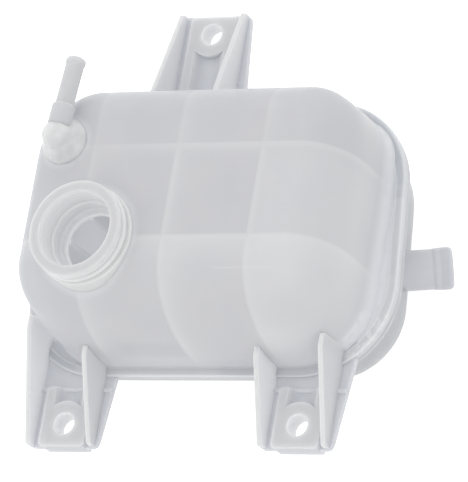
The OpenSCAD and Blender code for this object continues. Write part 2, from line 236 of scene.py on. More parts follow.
    def back_radius(self, depth: np.ndarray, t: float) -> np.ndarray:
        """Corner radius of the rear shell at a depth under the weld plane, t inside its outer face."""
        lean = self.lean(depth, self.seam_z - t, self.back_edge - t, self.back_edge - t)
        return self.flange_r - self.back_inset - t - lean

    def dome_height(self, x: np.ndarray, y: np.ndarray, t: float) -> np.ndarray:
        """Height of the dome's surface over points, found by halving between the seam and the top.

        Args:
            x: places along X.
            y: places along Y.
            t: distance inside the outer face.

        Returns:
            Heights above the weld plane.
        """
        top = np.full_like(x, self.dome_h - t)
        return left_at(lambda z: self.in_dome(x, y, z, t), np.zeros_like(x), top)[1]

    def bowl_depth(self, x: np.ndarray, y: np.ndarray, t: float) -> np.ndarray:
        """Depth of the bowl's surface under points, found by halving between the seam and the floor.

        Args:
            x: places along X.
            y: places along Y.
            t: distance inside the outer face.

        Returns:
            Depths under the weld plane.
        """
        bottom = np.full_like(x, self.seam_z - t)
        return left_at(lambda depth: self.in_flange(x, y, self.back_radius(depth, t)),
                       np.zeros_like(x), bottom)[1]


FORM = TankForm()


def quads_of_grid(rows: int, cols: int, loop_rows: bool) -> np.ndarray:
    """Faces of a grid whose columns close on themselves; point (i, j) has the number i * cols + j.

    Args:
        rows: number of rows.
        cols: number of columns.
        loop_rows: whether the last row joins the first one.

    Returns:
        An array of four point numbers a face.
    """
    i, j = np.meshgrid(np.arange(rows if loop_rows else rows - 1), np.arange(cols), indexing="ij")
    below, right = (i + 1) % rows, (j + 1) % cols
    faces = [i * cols + j, i * cols + right, below * cols + right, below * cols + j]
    return np.stack(faces, -1).reshape(-1, 4)


def new_piece(name: str, points: np.ndarray, faces: Sequence[Sequence[int]],
              marks: dict[str, np.ndarray] | None = None) -> bpy.types.Object:
    """Makes a closed mesh object from points in millimetres, with its normals outwards.

    Args:
        name: the piece's name.
        points: an array of points.
        faces: point numbers of each face.
        marks: a number for each point under each name, which materials can read.

    Returns:
        The new object, linked to the scene.
    """
    mesh = bpy.data.meshes.new(name)
    mesh.from_pydata((points.reshape(-1, 3) * MM).tolist(), [], [list(face) for face in faces])
    for mark, values in (marks or {}).items():
        mesh.attributes.new(mark, "FLOAT", "POINT").data.foreach_set("value", values.ravel())
    work = bmesh.new()
    work.from_mesh(mesh)
    bmesh.ops.remove_doubles(work, verts=work.verts, dist=SAME_POINT)
    bmesh.ops.recalc_face_normals(work, faces=work.faces)
    work.to_mesh(mesh)
    work.free()
    piece = bpy.data.objects.new(name, mesh)
    bpy.context.scene.collection.objects.link(piece)
    return piece


def from_grid(name: str, grid: np.ndarray, loop_rows: bool, caps: bool = False,
              marks: dict[str, np.ndarray] | None = None) -> bpy.types.Object:
    """Makes a piece from a grid of points whose columns close on themselves.

    Args:
        name: the piece's name.
        grid: points in rows and columns.
        loop_rows: whether the last row joins the first.
        caps: whether the first and last rows get a flat face.
        marks: a number for each row under each name, which materials can read.

    Returns:
        The new object.
    """
    rows, cols = grid.shape[:2]
    faces = quads_of_grid(rows, cols, loop_rows).tolist()
    if caps:
        faces += [list(range(cols))[::-1], list(range((rows - 1) * cols, rows * cols))]
    spread = {mark: np.repeat(values, cols) for mark, values in (marks or {}).items()}
    return new_piece(name, grid, faces, spread)


def rounded(outline: np.ndarray, radius: float, steps: int = 4) -> np.ndarray:
    """Rounds the corners of a closed outline.

    Formula: each corner c becomes the curve (1-t)^2 a + 2t(1-t) c + t^2 b, where a and b lie on its two
    sides at the radius, or at CORNER_SHARE of the shorter side.

    Args:
        outline: the outline's corners.
        radius: how far from the corner each curve starts.
        steps: pieces of each curve.

    Returns:
        The rounded outline's points.
    """
    before, after = np.roll(outline, 1, 0) - outline, np.roll(outline, -1, 0) - outline
    length_a = np.linalg.norm(before, axis=1, keepdims=True)
    length_b = np.linalg.norm(after, axis=1, keepdims=True)
    reach = np.minimum(radius, CORNER_SHARE * np.minimum(length_a, length_b))
    start, end = outline + before / length_a * reach, outline + after / length_b * reach
    t = np.linspace(0.0, 1.0, steps + 1)[None, :, None]
    curve = (1 - t) ** 2 * start[:, None] + 2 * t * (1 - t) * outline[:, None] + t**2 * end[:, None]
    return curve.reshape(-1, outline.shape[1])


def turned(profile: np.ndarray, segments: int = TURNED_COLUMNS) -> np.ndarray:
    """Turns a profile of (radius, height) points round the Z axis.

    Args:
        profile: radius and height of each point.
        segments: number of columns round the axis.

    Returns:
        A grid with a row for each profile point.
    """
    angle = np.linspace(0.0, 2 * math.pi, segments, endpoint=False)
    radius, height = profile[:, :1], profile[:, 1:]
    return np.stack([radius * np.cos(angle), radius * np.sin(angle), height + 0 * angle], -1)


def placed(points: np.ndarray, origin: Sequence[float], axis: Sequence[float] = (0, 0, 1)) -> np.ndarray:
    """Moves points so that their Z axis lies along axis and their origin at origin.

    Args:
        points: points round the Z axis.
        origin: where the old origin goes.
        axis: direction of the old Z axis.

    Returns:
        The moved points.
    """
    turn = np.array(Vector(axis).to_track_quat("Z", "Y").to_matrix())
    return points @ turn.T + np.array(origin)


def prism(name: str, outline: np.ndarray, low: float, high: float, along: Along) -> bpy.types.Object:
    """Draws a closed outline out along an axis, with flat ends.

    Args:
        name: the piece's name.
        outline: corners in the two other axes.
        low: start along the axis.
        high: end along the axis.
        along: the axis.

    Returns:
        The new object.
    """
    grid = np.zeros((2, len(outline), 3))
    first, second, third = along.value
    grid[:, :, first], grid[:, :, second] = outline[:, 0], outline[:, 1]
    grid[0, :, third], grid[1, :, third] = low, high
    return from_grid(name, grid, False, caps=True)


def circle(radius: float, x: float = 0.0, y: float = 0.0) -> np.ndarray:
    """Points of a circle of that radius round (x, y)."""
    angle = np.linspace(0.0, 2 * math.pi, CIRCLE_POINTS, endpoint=False)
    return np.stack([x + radius * np.cos(angle), y + radius * np.sin(angle)], -1)


def baked(piece: bpy.types.Object) -> None:
    """Applies a piece's modifiers to its mesh.

    Args:
        piece: the object whose modifiers are applied.
    """
    graph = bpy.context.evaluated_depsgraph_get()
    mesh = bpy.data.meshes.new_from_object(piece.evaluated_get(graph), depsgraph=graph)
    piece.modifiers.clear()
    piece.data = mesh


def combine(target: bpy.types.Object, tool: bpy.types.Object, cut: Cut) -> None:
    """Joins a solid to another or takes it away, and removes it.

    Args:
        target: the solid that changes.
        tool: the solid that is used up.
        cut: what is done with it.
    """
    step = target.modifiers.new("step", "BOOLEAN")
    step.operation = cut.value
    step.solver = "EXACT"
    step.object = tool
    baked(target)
    bpy.data.objects.remove(tool)


def softened(piece: bpy.types.Object, width: float) -> None:
    """Gives a piece small rounded edges.

    Args:
        piece: the object.
        width: width of the rounding.
    """
    bevel = piece.modifiers.new("edges", "BEVEL")
    bevel.width = width * MM
    bevel.segments = 2
    bevel.limit_method = "ANGLE"
    bevel.angle_limit = math.radians(BEVEL_ANGLE)
    baked(piece)


def picked_out(piece: bpy.types.Object, number: int,
               chosen: Callable[[np.ndarray, np.ndarray], np.ndarray]) -> None:
    """Gives chosen faces another of the piece's finishes.

    Args:
        piece: the object.
        number: place of the finish in the piece's list.
        chosen: tells from the faces' middles, in millimetres, and their normals which faces get it.
    """
    faces = piece.data.polygons
    middles, normals = np.empty(3 * len(faces)), np.empty(3 * len(faces))
    faces.foreach_get("center", middles)
    faces.foreach_get("normal", normals)
    index = np.empty(len(faces), np.int32)
    faces.foreach_get("material_index", index)
    index[chosen(middles.reshape(-1, 3) / MM, normals.reshape(-1, 3))] = number
    faces.foreach_set("material_index", index)


def handed_over(piece: bpy.types.Object, materials: Sequence[bpy.types.Material]) -> bpy.types.Object:
    """Smooths a finished piece, dresses it and lets it ride on the tank.

    Args:
        piece: the object.
        materials: its finishes.

    Returns:
        The same object.
    """
    piece.data.shade_smooth()
    piece.data.set_sharp_from_angle(angle=math.radians(SHARP_ANGLE))
    weighted = piece.modifiers.new("flats", "WEIGHTED_NORMAL")
    weighted.keep_sharp = True
    index = np.empty(len(piece.data.polygons), np.int32)
    piece.data.polygons.foreach_get("material_index", index)
    piece.data.materials.clear()
    for material in materials:
        piece.data.materials.append(material)
    piece.data.polygons.foreach_set("material_index", index)
    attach(piece, ROOT_BODY)
    log.info("%s: %d faces", piece.name, len(piece.data.polygons))
    return piece


class Graph:
    """A node tree with short ways to add and join nodes."""

    def __init__(self, tree: bpy.types.NodeTree) -> None:
        """Keeps the tree that nodes are added to."""
        self.tree = tree

    def add(self, kind: str, **settings: object) -> bpy.types.Node:
        """Adds a node and sets its properties.

        Args:
            kind: the node's type.
            settings: properties to set.

        Returns:
            The new node.
        """
        node = self.tree.nodes.new(kind)
        for key, value in settings.items():
            setattr(node, key, value)
        return node

    def feed(self, socket: bpy.types.NodeSocket, value: object) -> None:
        """Links an output to a socket, or sets the socket to a plain value.

        Args:
            socket: the input.
            value: an output socket, a number or a tuple.
        """
        if isinstance(value, bpy.types.NodeSocket):
            self.tree.links.new(value, socket)
        else:
            socket.default_value = value

    def math(self, operation: str, *values: object, clamp: bool = False) -> bpy.types.NodeSocket:
        """Adds a Math node.

        Args:
            operation: the node's operation.
            values: its inputs.
            clamp: whether the result is kept from 0 to 1.

        Returns:
            The result's socket.
        """
        node = self.add("ShaderNodeMath", operation=operation, use_clamp=clamp)
        for socket, value in zip(node.inputs, values):
            self.feed(socket, value)
        return node.outputs[0]

    def ramp(self, value: object, start: object, end: object) -> bpy.types.NodeSocket:
        """A smooth step from 0 at start to 1 at end.

        Args:
            value: the input.
            start: where the step starts.
            end: where it ends.

        Returns:
            The result's socket.
        """
        node = self.add("ShaderNodeMapRange", interpolation_type="SMOOTHSTEP")
        for key, given in (("Value", value), ("From Min", start), ("From Max", end)):
            self.feed(node.inputs[key], given)
        return node.outputs["Result"]

    def mix(self, share: object, first: object, second: object) -> bpy.types.NodeSocket:
        """Mixes two colours.

        Args:
            share: how much of the second shows.
            first: the first colour.
            second: the second colour.

        Returns:
            The mixed colour's socket.
        """
        node = self.add("ShaderNodeMix", data_type="RGBA")
        for place, given in zip(MIX_INPUTS, (share, first, second)):
            self.feed(node.inputs[place], given)
        return node.outputs[MIX_OUTPUT]

    def noise(self, place: object, scale: object, detail: float = 2.0) -> bpy.types.NodeSocket:
        """Adds a Noise Texture.

        Args:
            place: where the noise is read.
            scale: its scale.
            detail: its number of finer layers.

        Returns:
            The noise value's socket.
        """
        node = self.add("ShaderNodeTexNoise")
        for key, given in (("Vector", place), ("Scale", scale), ("Detail", detail)):
            self.feed(node.inputs[key], given)
        return node.outputs[0]

    def scaled(self, mask: object, at_none: float, at_full: float) -> bpy.types.NodeSocket:
        """Turns a mask into a number that goes from at_none to at_full."""
        return self.math("MULTIPLY_ADD", mask, at_full - at_none, at_none)

    def parted(self, vector: object) -> tuple[bpy.types.NodeSocket, ...]:
        """Parts a vector into its three numbers.

        Args:
            vector: an output socket.

        Returns:
            The sockets of the three numbers.
        """
        node = self.add("ShaderNodeSeparateXYZ")
        self.feed(node.inputs[0], vector)
        return tuple(node.outputs)

    def mark(self, name: str) -> bpy.types.NodeSocket:
        """Reads a mark that a piece's points carry."""
        return self.add("ShaderNodeAttribute", attribute_name=name).outputs["Fac"]

    def group(self, tree: bpy.types.ShaderNodeTree, **values: object) -> bpy.types.NodeOutputs:
        """Places a node group.

        Args:
            tree: the group.
            values: what each of its inputs gets.

        Returns:
            The group's outputs.
        """
        node = self.add("ShaderNodeGroup", node_tree=tree)
        for key, given in values.items():
            self.feed(node.inputs[key], given)
        return node.outputs


def new_group(name: str, vectors: Sequence[str], numbers: Sequence[str], results: Sequence[str]
              ) -> tuple[Graph, bpy.types.NodeOutputs, bpy.types.NodeInputs]:
    """Starts a shader node group with named inputs and outputs.

    Args:
        name: the group's name.
        vectors: names of its vector inputs.
        numbers: names of its number inputs.
        results: names of its outputs, which are numbers.

    Returns:
        The group's nodes, its inputs as they are read inside it and its outputs as they are fed.
    """
    tree = bpy.data.node_groups.new(name, "ShaderNodeTree")
    for vector in vectors:
        tree.interface.new_socket(vector, in_out="INPUT", socket_type="NodeSocketVector")
    for number in numbers:
        tree.interface.new_socket(number, in_out="INPUT", socket_type="NodeSocketFloat")
    for result in results:
        tree.interface.new_socket(result, in_out="OUTPUT", socket_type="NodeSocketFloat")
    graph = Graph(tree)
    return graph, graph.add("NodeGroupInput").outputs, graph.add("NodeGroupOutput").inputs


@dataclass(frozen=True)
class CloudsAndHighlights:
    """The plastic's soft clouds; on the turret, mixed towards a brighter colour, they are painted highlights.
    """

    layers: float = 3.0
    step: tuple[float, float] = (0.3, 0.7)

    def group(self) -> bpy.types.ShaderNodeTree:
        """Builds the node group.

        Formula: a smooth step of a noise with finer layers.

        Returns:
            The group, with the inputs Position and Scale and the output Mask.
        """
        graph, given, out = new_group("milky clouds and highlights", ["Position"], ["Scale"], ["Mask"])
        noise = graph.noise(given["Position"], given["Scale"], self.layers)
        graph.feed(out["Mask"], graph.ramp(noise, *self.step))
        return graph.tree


@dataclass(frozen=True)
class Grain:
    """The fine grain that the mould leaves."""

    layers: float = 2.0

    def group(self) -> bpy.types.ShaderNodeTree:
        """Builds the node group.

        Formula: the height is a noise with finer layers.

        Returns:
            The group, with the inputs Position and Scale and the output Height.
        """
        graph, given, out = new_group("fine grain", ["Position"], ["Scale"], ["Height"])
        graph.feed(out["Height"], graph.noise(given["Position"], given["Scale"], self.layers))
        return graph.tree


class SoftBox:
    """A box whose sides fade, as the shape of every soft patch."""

    def group(self) -> bpy.types.ShaderNodeTree:
        """Builds the node group.

        Formula: along each axis a smooth step up round the low end and one down round the high end, each
        twice the softness wide. The mask is their product times the share.

        Returns:
            The group, with the inputs Position, Low, High, Soft and Share and the output Mask.
        """
        graph, given, out = new_group("soft patch", ["Position", "Low", "High"], ["Soft", "Share"], ["Mask"])
        soft, mask = given["Soft"], given["Share"]
        for place, low, high in zip(*(graph.parted(given[name]) for name in ("Position", "Low", "High"))):
            rise = graph.ramp(place, graph.math("SUBTRACT", low, soft), graph.math("ADD", low, soft))
            drop = graph.ramp(place, graph.math("ADD", high, soft), graph.math("SUBTRACT", high, soft))
            mask = graph.math("MULTIPLY", mask, graph.math("MULTIPLY", rise, drop))
        graph.feed(out["Mask"], mask)
        return graph.tree


@dataclass(frozen=True)
class InsideLight:
    """How much painted light, standing for light from inside the tank that comes through, each point gets.
    Lengths are in millimetres.
    """

    form: TankForm = FORM
    turret_foot: float = 11.5
    neck_foot: float = 25.0
    ring: tuple[float, float] = (4.0, -0.5)
    ring_share: float = 0.6
    dome_z: tuple[float, float] = (75.0, 85.0)
    low_y: tuple[float, float] = (-55.0, -65.0)
    low_share: float = 0.4

    def group(self) -> bpy.types.ShaderNodeTree:
        """Builds the node group.

        Formula: the mark that the points carry, weaker at the foot of the low side. On the dome it is at
        least a ring round the feet of the neck and the turret, which fades away from their axes: painted
        light that lifts the shade at those feet.

        Returns:
            The group, with the inputs Position and Mark and the output Mask.
        """
        graph, given, out = new_group("light from inside", ["Position"], ["Mark"], ["Mask"])
        place = graph.parted(given["Position"])
        rings = []
        for middle, radius in ((self.form.turret, self.turret_foot), (self.form.neck, self.neck_foot)):
            dx, dy = (graph.math("SUBTRACT", place[axis], middle[axis] * MM) for axis in (0, 1))
            squares = graph.math("ADD", graph.math("MULTIPLY", dx, dx), graph.math("MULTIPLY", dy, dy))
            ends = ((radius + past) * MM for past in self.ring)
            rings.append(graph.ramp(graph.math("SQRT", squares), *ends))
        on_dome = graph.ramp(place[2], *(z * MM for z in self.dome_z))
        on_dome = graph.math("MULTIPLY", on_dome, self.ring_share)
        ring = graph.math("MULTIPLY", graph.math("MAXIMUM", *rings), on_dome)
        low = graph.scaled(graph.ramp(place[1], *(y * MM for y in self.low_y)), 1.0, self.low_share)
        graph.feed(out["Mask"], graph.math("MAXIMUM", graph.math("MULTIPLY", given["Mark"], low), ring))
        return graph.tree


@dataclass(frozen=True)
class SeenWalls:
    """How the inner walls show through the shell: as bright lines, partly painted light, with a painted glow
    beside and under them.

    Fades are in metres, the rise is in line widths, under_reach is in reaches, and the other values are
    shares.
    """

    form: TankForm = FORM
    early: float = 0.06
    late: float = 0.05
    rise: tuple[float, float] = (-1.6, -0.6)
    upper_fade: float = 0.004
    upper_share: float = 0.4
    first_fade: tuple[float, float] = (0.01, 0.03)
    first_share: float = 0.55
    left_fade: float = 0.06
    left_share: float = 0.5
    beside_fade: float = 0.002
    under_fade: float = 0.0008
    under_reach: float = 3.0
    under_share: float = 0.8
    above_fade: float = 0.001
    above_share: float = 0.3

    def lines(self, graph: Graph, place: bpy.types.NodeSocket, gap: float, walls: int,
              given: bpy.types.NodeOutputs) -> bpy.types.NodeSocket:
        """Builds the lines of the walls that are stacked along one axis.

        Formula: the place past a wall is wrapped at the walls' spacing. A line is bright on its wall, stops
        sharply before it and falls off as the exponential of the place past it.

        Args:
            graph: the group's nodes.
            place: the place past the first wall.
            gap: the walls' spacing.
            walls: the number of walls.
            given: the group's inputs.

        Returns:
            The mask's socket.
        """
        width, fall = given["Width"], given["Fall"]
        past = graph.math("WRAP", place, gap * (1.0 - self.early), gap * -self.early)
        rise = graph.ramp(past, *(graph.math("MULTIPLY", width, widths) for widths in self.rise))
        drop = graph.math("MAXIMUM", graph.math("SUBTRACT", past, width), 0.0)
        tail = graph.math("EXPONENT", graph.math("DIVIDE", drop, graph.math("MULTIPLY", fall, -1.0)))
        started = graph.ramp(place, gap * -self.early, gap * -self.late)
        ended = graph.ramp(place, gap * (walls - self.late), gap * (walls - self.early))
        shown = graph.math("MULTIPLY", started, ended)
        return graph.math("MULTIPLY", graph.math("MULTIPLY", rise, tail), shown)

    def group(self) -> bpy.types.ShaderNodeTree:
        """Builds the node group.

        Formula: lines along Y are weak past the upper wall and near the first wall, and lines along X grow
        with X. The glow, which is painted light, falls off slower than a line, past each wall and under the
        lower wall.

        Returns:
            The group, with the inputs Position, Width, Fall and Reach and the outputs Lines and Glow.
        """
        graph, given, out = new_group("inner walls", ["Position"], ["Width", "Fall", "Reach"],
                                      ["Lines", "Glow"])
        place, reach = graph.parted(given["Position"]), given["Reach"]
        walls, shift = (self.form.baffle_x, self.form.baffle_y), self.form.seen_shift
        x, y = (graph.math("SUBTRACT", place[axis], (walls[axis][0] + shift[axis]) * MM) for axis in (0, 1))
        gap_x, gap_y = ((walls[axis][1] - walls[axis][0]) * MM for axis in (0, 1))
        along_y = self.lines(graph, x, gap_x, len(walls[0]), given)
        along_x = self.lines(graph, graph.math("SUBTRACT", gap_y, y), gap_y, len(walls[1]), given)
        upper = graph.ramp(y, gap_y - self.upper_fade, gap_y + self.upper_fade)
        upper = graph.scaled(upper, 1.0, self.upper_share)
        first = graph.scaled(graph.ramp(x, *self.first_fade), self.first_share, 1.0)
        along_y = graph.math("MULTIPLY", along_y, graph.math("MULTIPLY", upper, first))
        left = graph.scaled(graph.ramp(x, 0.0, self.left_fade), self.left_share, 1.0)
        along_x = graph.math("MULTIPLY", along_x, left)
        graph.feed(out["Lines"], graph.math("MAXIMUM", along_y, along_x))
        past = graph.math("WRAP", x, gap_x, 0.0)
        beside = graph.math("EXPONENT", graph.math("DIVIDE", past, graph.math("MULTIPLY", reach, -1.0)))
        beside = graph.math("MULTIPLY", beside, graph.ramp(x, -self.beside_fade, 0.0))
        low = graph.scaled(graph.ramp(y, self.above_fade, -self.above_fade), self.above_share, 1.0)
        beside = graph.math("MULTIPLY", beside, low)
        reach_under = graph.math("MULTIPLY", reach, self.under_reach)
        under = graph.math("EXPONENT", graph.math("DIVIDE", y, reach_under))
        under = graph.math("MULTIPLY", under, graph.ramp(y, self.under_fade, -self.under_fade))
        under = graph.math("MULTIPLY", under, self.under_share)
        graph.feed(out["Glow"], graph.math("ADD", beside, under, clamp=True))
        return graph.tree


@dataclass(frozen=True)
class Effects:
    """The node groups that the finishes share."""

    walls: bpy.types.ShaderNodeTree
    clouds: bpy.types.ShaderNodeTree
    grain: bpy.types.ShaderNodeTree
    patch: bpy.types.ShaderNodeTree
    inside_light: bpy.types.ShaderNodeTree


@dataclass(frozen=True)
class Patch:
    """A soft patch, in millimetres, where the colour is painted darker, as painted shade, or brighter, as
    painted light, glints or a mark in the moulding.
    """

    x: tuple[float, float]
    y: tuple[float, float]
    z: tuple[float, float]
    share: float
    soft: float = 2.0
    is_bright: bool = False
    speckle: float = 0.0
    speckle_step: tuple[float, float] = (0.42, 0.58)

    def mask(self, graph: Graph, place: bpy.types.NodeSocket, effects: Effects) -> bpy.types.NodeSocket:
        """Places the patch in a material.

        Formula: the soft box times its share, and times a smooth step of a noise if the patch is speckled
        with painted glints.

        Args:
            graph: the material's nodes.
            place: the Object coordinates.
            effects: the shared node groups.

        Returns:
            The mask's socket.
        """
        low, high = (tuple(ends[end] * MM for ends in (self.x, self.y, self.z)) for end in (0, 1))
        mask = graph.group(effects.patch, Position=place, Low=low, High=high, Soft=self.soft * MM,
                           Share=self.share)["Mask"]
        if self.speckle:
            spots = graph.ramp(graph.noise(place, self.speckle), *self.speckle_step)
            mask = graph.math("MULTIPLY", mask, spots)
        return mask


@dataclass(frozen=True)
class MilkyPlastic:
    """Natural polypropylene as one finish of the tank.

    Its lengths are in metres. The body colour turns towards the deep one in clouds and in patches of painted
    shade, and
    towards the bright one in painted light: bright patches, the wall lines' glow and the rim's edges. The
    emission, in the glow colour at lit_through strength, is painted light that stands for light coming
    through the plastic.
    towards the bright one where light shows through.
    """

    name: str
    body: tuple[float, float, float]
    deep: tuple[float, float, float]
    bright: tuple[float, float, float] = (0.65, 0.65, 0.65)
    line_share: float = 0.0
    glow_share: float = 0.0
    line_width: float = 0.0009
    line_fall: float = 0.0026
    glow_reach: float = 0.009
    line_z: tuple[float, float] = (0.050, 0.075)
    line_least: float = 0.25
    cloud_and_highlight_share: float = 0.16
    cloud_and_highlight_size: float = 38.0
    patches: tuple[Patch, ...] = ()
    has_rim: bool = False
    rim_y: tuple[float, float] = (-0.040, -0.055)
    rim_share: tuple[float, float] = (0.15, 0.7)
    ring_share: float = 0.0
    ring_rise: float = 0.0013
    ring_edge: tuple[float, float] = (0.0010, 0.0003)
    deep_share: float = 0.0
    has_inside: bool = False
    inside: tuple[float, float, float] = (0.62, 0.625, 0.64)
    glow: tuple[float, float, float] = (0.8, 0.81, 0.83)
    inside_glow: tuple[float, float, float] = (1.5, 1.54, 1.60)
    lit_through: float = 0.12
    roughness: float = 0.38
    gloss: float = 0.3
    bending: float = 1.49
    scatter: float = 0.009
    grain_scale: float = 420.0
    grain_strength: float = 0.12
    grain_depth: float = 0.0002

    def lined(self, graph: Graph, place: bpy.types.NodeSocket, colour: bpy.types.NodeSocket,
              effects: Effects) -> bpy.types.NodeSocket:
        """Lets the inner walls show in a colour, as bright lines, partly painted light, with their painted
        glow, weaker near the dome's foot.

        Args:
            graph: the material's nodes.
            place: the Object coordinates.
            colour: the colour so far.
            effects: the shared node groups.

        Returns:
            The new colour's socket.
        """
        seen = graph.group(effects.walls, Position=place, Width=self.line_width, Fall=self.line_fall,
                           Reach=self.glow_reach)
        faded = graph.scaled(graph.ramp(graph.parted(place)[2], *self.line_z), self.line_least, 1.0)
        for name, share in (("Glow", self.glow_share), ("Lines", self.line_share)):
            mask = graph.math("MULTIPLY", graph.math("MULTIPLY", seen[name], share), faded)
            colour = graph.mix(mask, colour, (*self.bright, 1))
        return colour

    def coloured(self, graph: Graph, place: bpy.types.NodeSocket, effects: Effects) -> bpy.types.NodeSocket:
        """Builds the colour: clouds, patches of painted shade and painted light, marked parts, rings, wall
        lines with their painted glow and the rim's edges with a painted highlight.

        Args:
            graph: the material's nodes.
            place: the Object coordinates.
            effects: the shared node groups.

        Returns:
            The colour's socket.
        """
        _, y, z = graph.parted(place)
        deep, bright = (*self.deep, 1), (*self.bright, 1)
        # On the turret these clouds mix towards a brighter colour: painted highlights.
        clouds = graph.group(effects.clouds, Position=place, Scale=self.cloud_and_highlight_size)["Mask"]
        colour = graph.mix(graph.math("MULTIPLY", clouds, self.cloud_and_highlight_share), (*self.body, 1), deep)
        # Dark patches are painted shade; bright ones are painted light and glints, apart from one mark in the
        # moulding.
        for patch in self.patches:
            colour = graph.mix(patch.mask(graph, place, effects), colour, bright if patch.is_bright else deep)
        if self.deep_share:
            colour = graph.mix(graph.math("MULTIPLY", graph.mark("deep"), self.deep_share), colour, deep)
        if self.ring_share:
            ring = graph.ramp(graph.math("PINGPONG", z, self.ring_rise), *self.ring_edge)
            colour = graph.mix(graph.math("MULTIPLY", ring, self.ring_share), colour, bright)
        if self.line_share:
            colour = self.lined(graph, place, colour, effects)
        # Painted highlight along the rim's marked edges, stronger towards the low side.
        if self.has_rim:
            corner = graph.scaled(graph.ramp(y, *self.rim_y), *self.rim_share)
            colour = graph.mix(graph.math("MULTIPLY", graph.mark("edge"), corner), colour, bright)
        return colour

    def made(self, effects: Effects) -> bpy.types.Material:
        """Builds the material.

        Args:
            effects: the shared node groups.

        Returns:
            The material.
        """
        material = bpy.data.materials.new(self.name)
        material.use_nodes = True
        graph = Graph(material.node_tree)
        shader = material.node_tree.nodes["Principled BSDF"]
        place = graph.add("ShaderNodeTexCoord").outputs["Object"]
        colour, glow = self.coloured(graph, place, effects), (*self.glow, 1)
        # Painted light from inside the tank: a brighter colour and a stronger glow where the mask says.
        if self.has_inside:
            lit = graph.group(effects.inside_light, Position=place, Mark=graph.mark("lit"))["Mask"]
            colour = graph.mix(lit, colour, (*self.inside, 1))
            glow = graph.mix(lit, glow, (*self.inside_glow, 1))
        bump = graph.add("ShaderNodeBump")
        graph.feed(bump.inputs["Strength"], self.grain_strength)
        graph.feed(bump.inputs["Distance"], self.grain_depth)
        grain = graph.group(effects.grain, Position=place, Scale=self.grain_scale)
        graph.feed(bump.inputs["Height"], grain["Height"])
        # Emission in the glow colour at lit_through strength: painted light standing for light that comes
        # through the plastic.
        for key, value in (
                ("Base Color", colour), ("Normal", bump.outputs[0]), ("Roughness", self.roughness),
                ("IOR", self.bending), ("Specular IOR Level", self.gloss), ("Subsurface Weight", 1.0),
                ("Subsurface Radius", (1.0, 1.0, 1.0)), ("Subsurface Scale", self.scatter),
                ("Emission Color", glow), ("Emission Strength", self.lit_through)):
            graph.feed(shader.inputs[key], value)
        return material


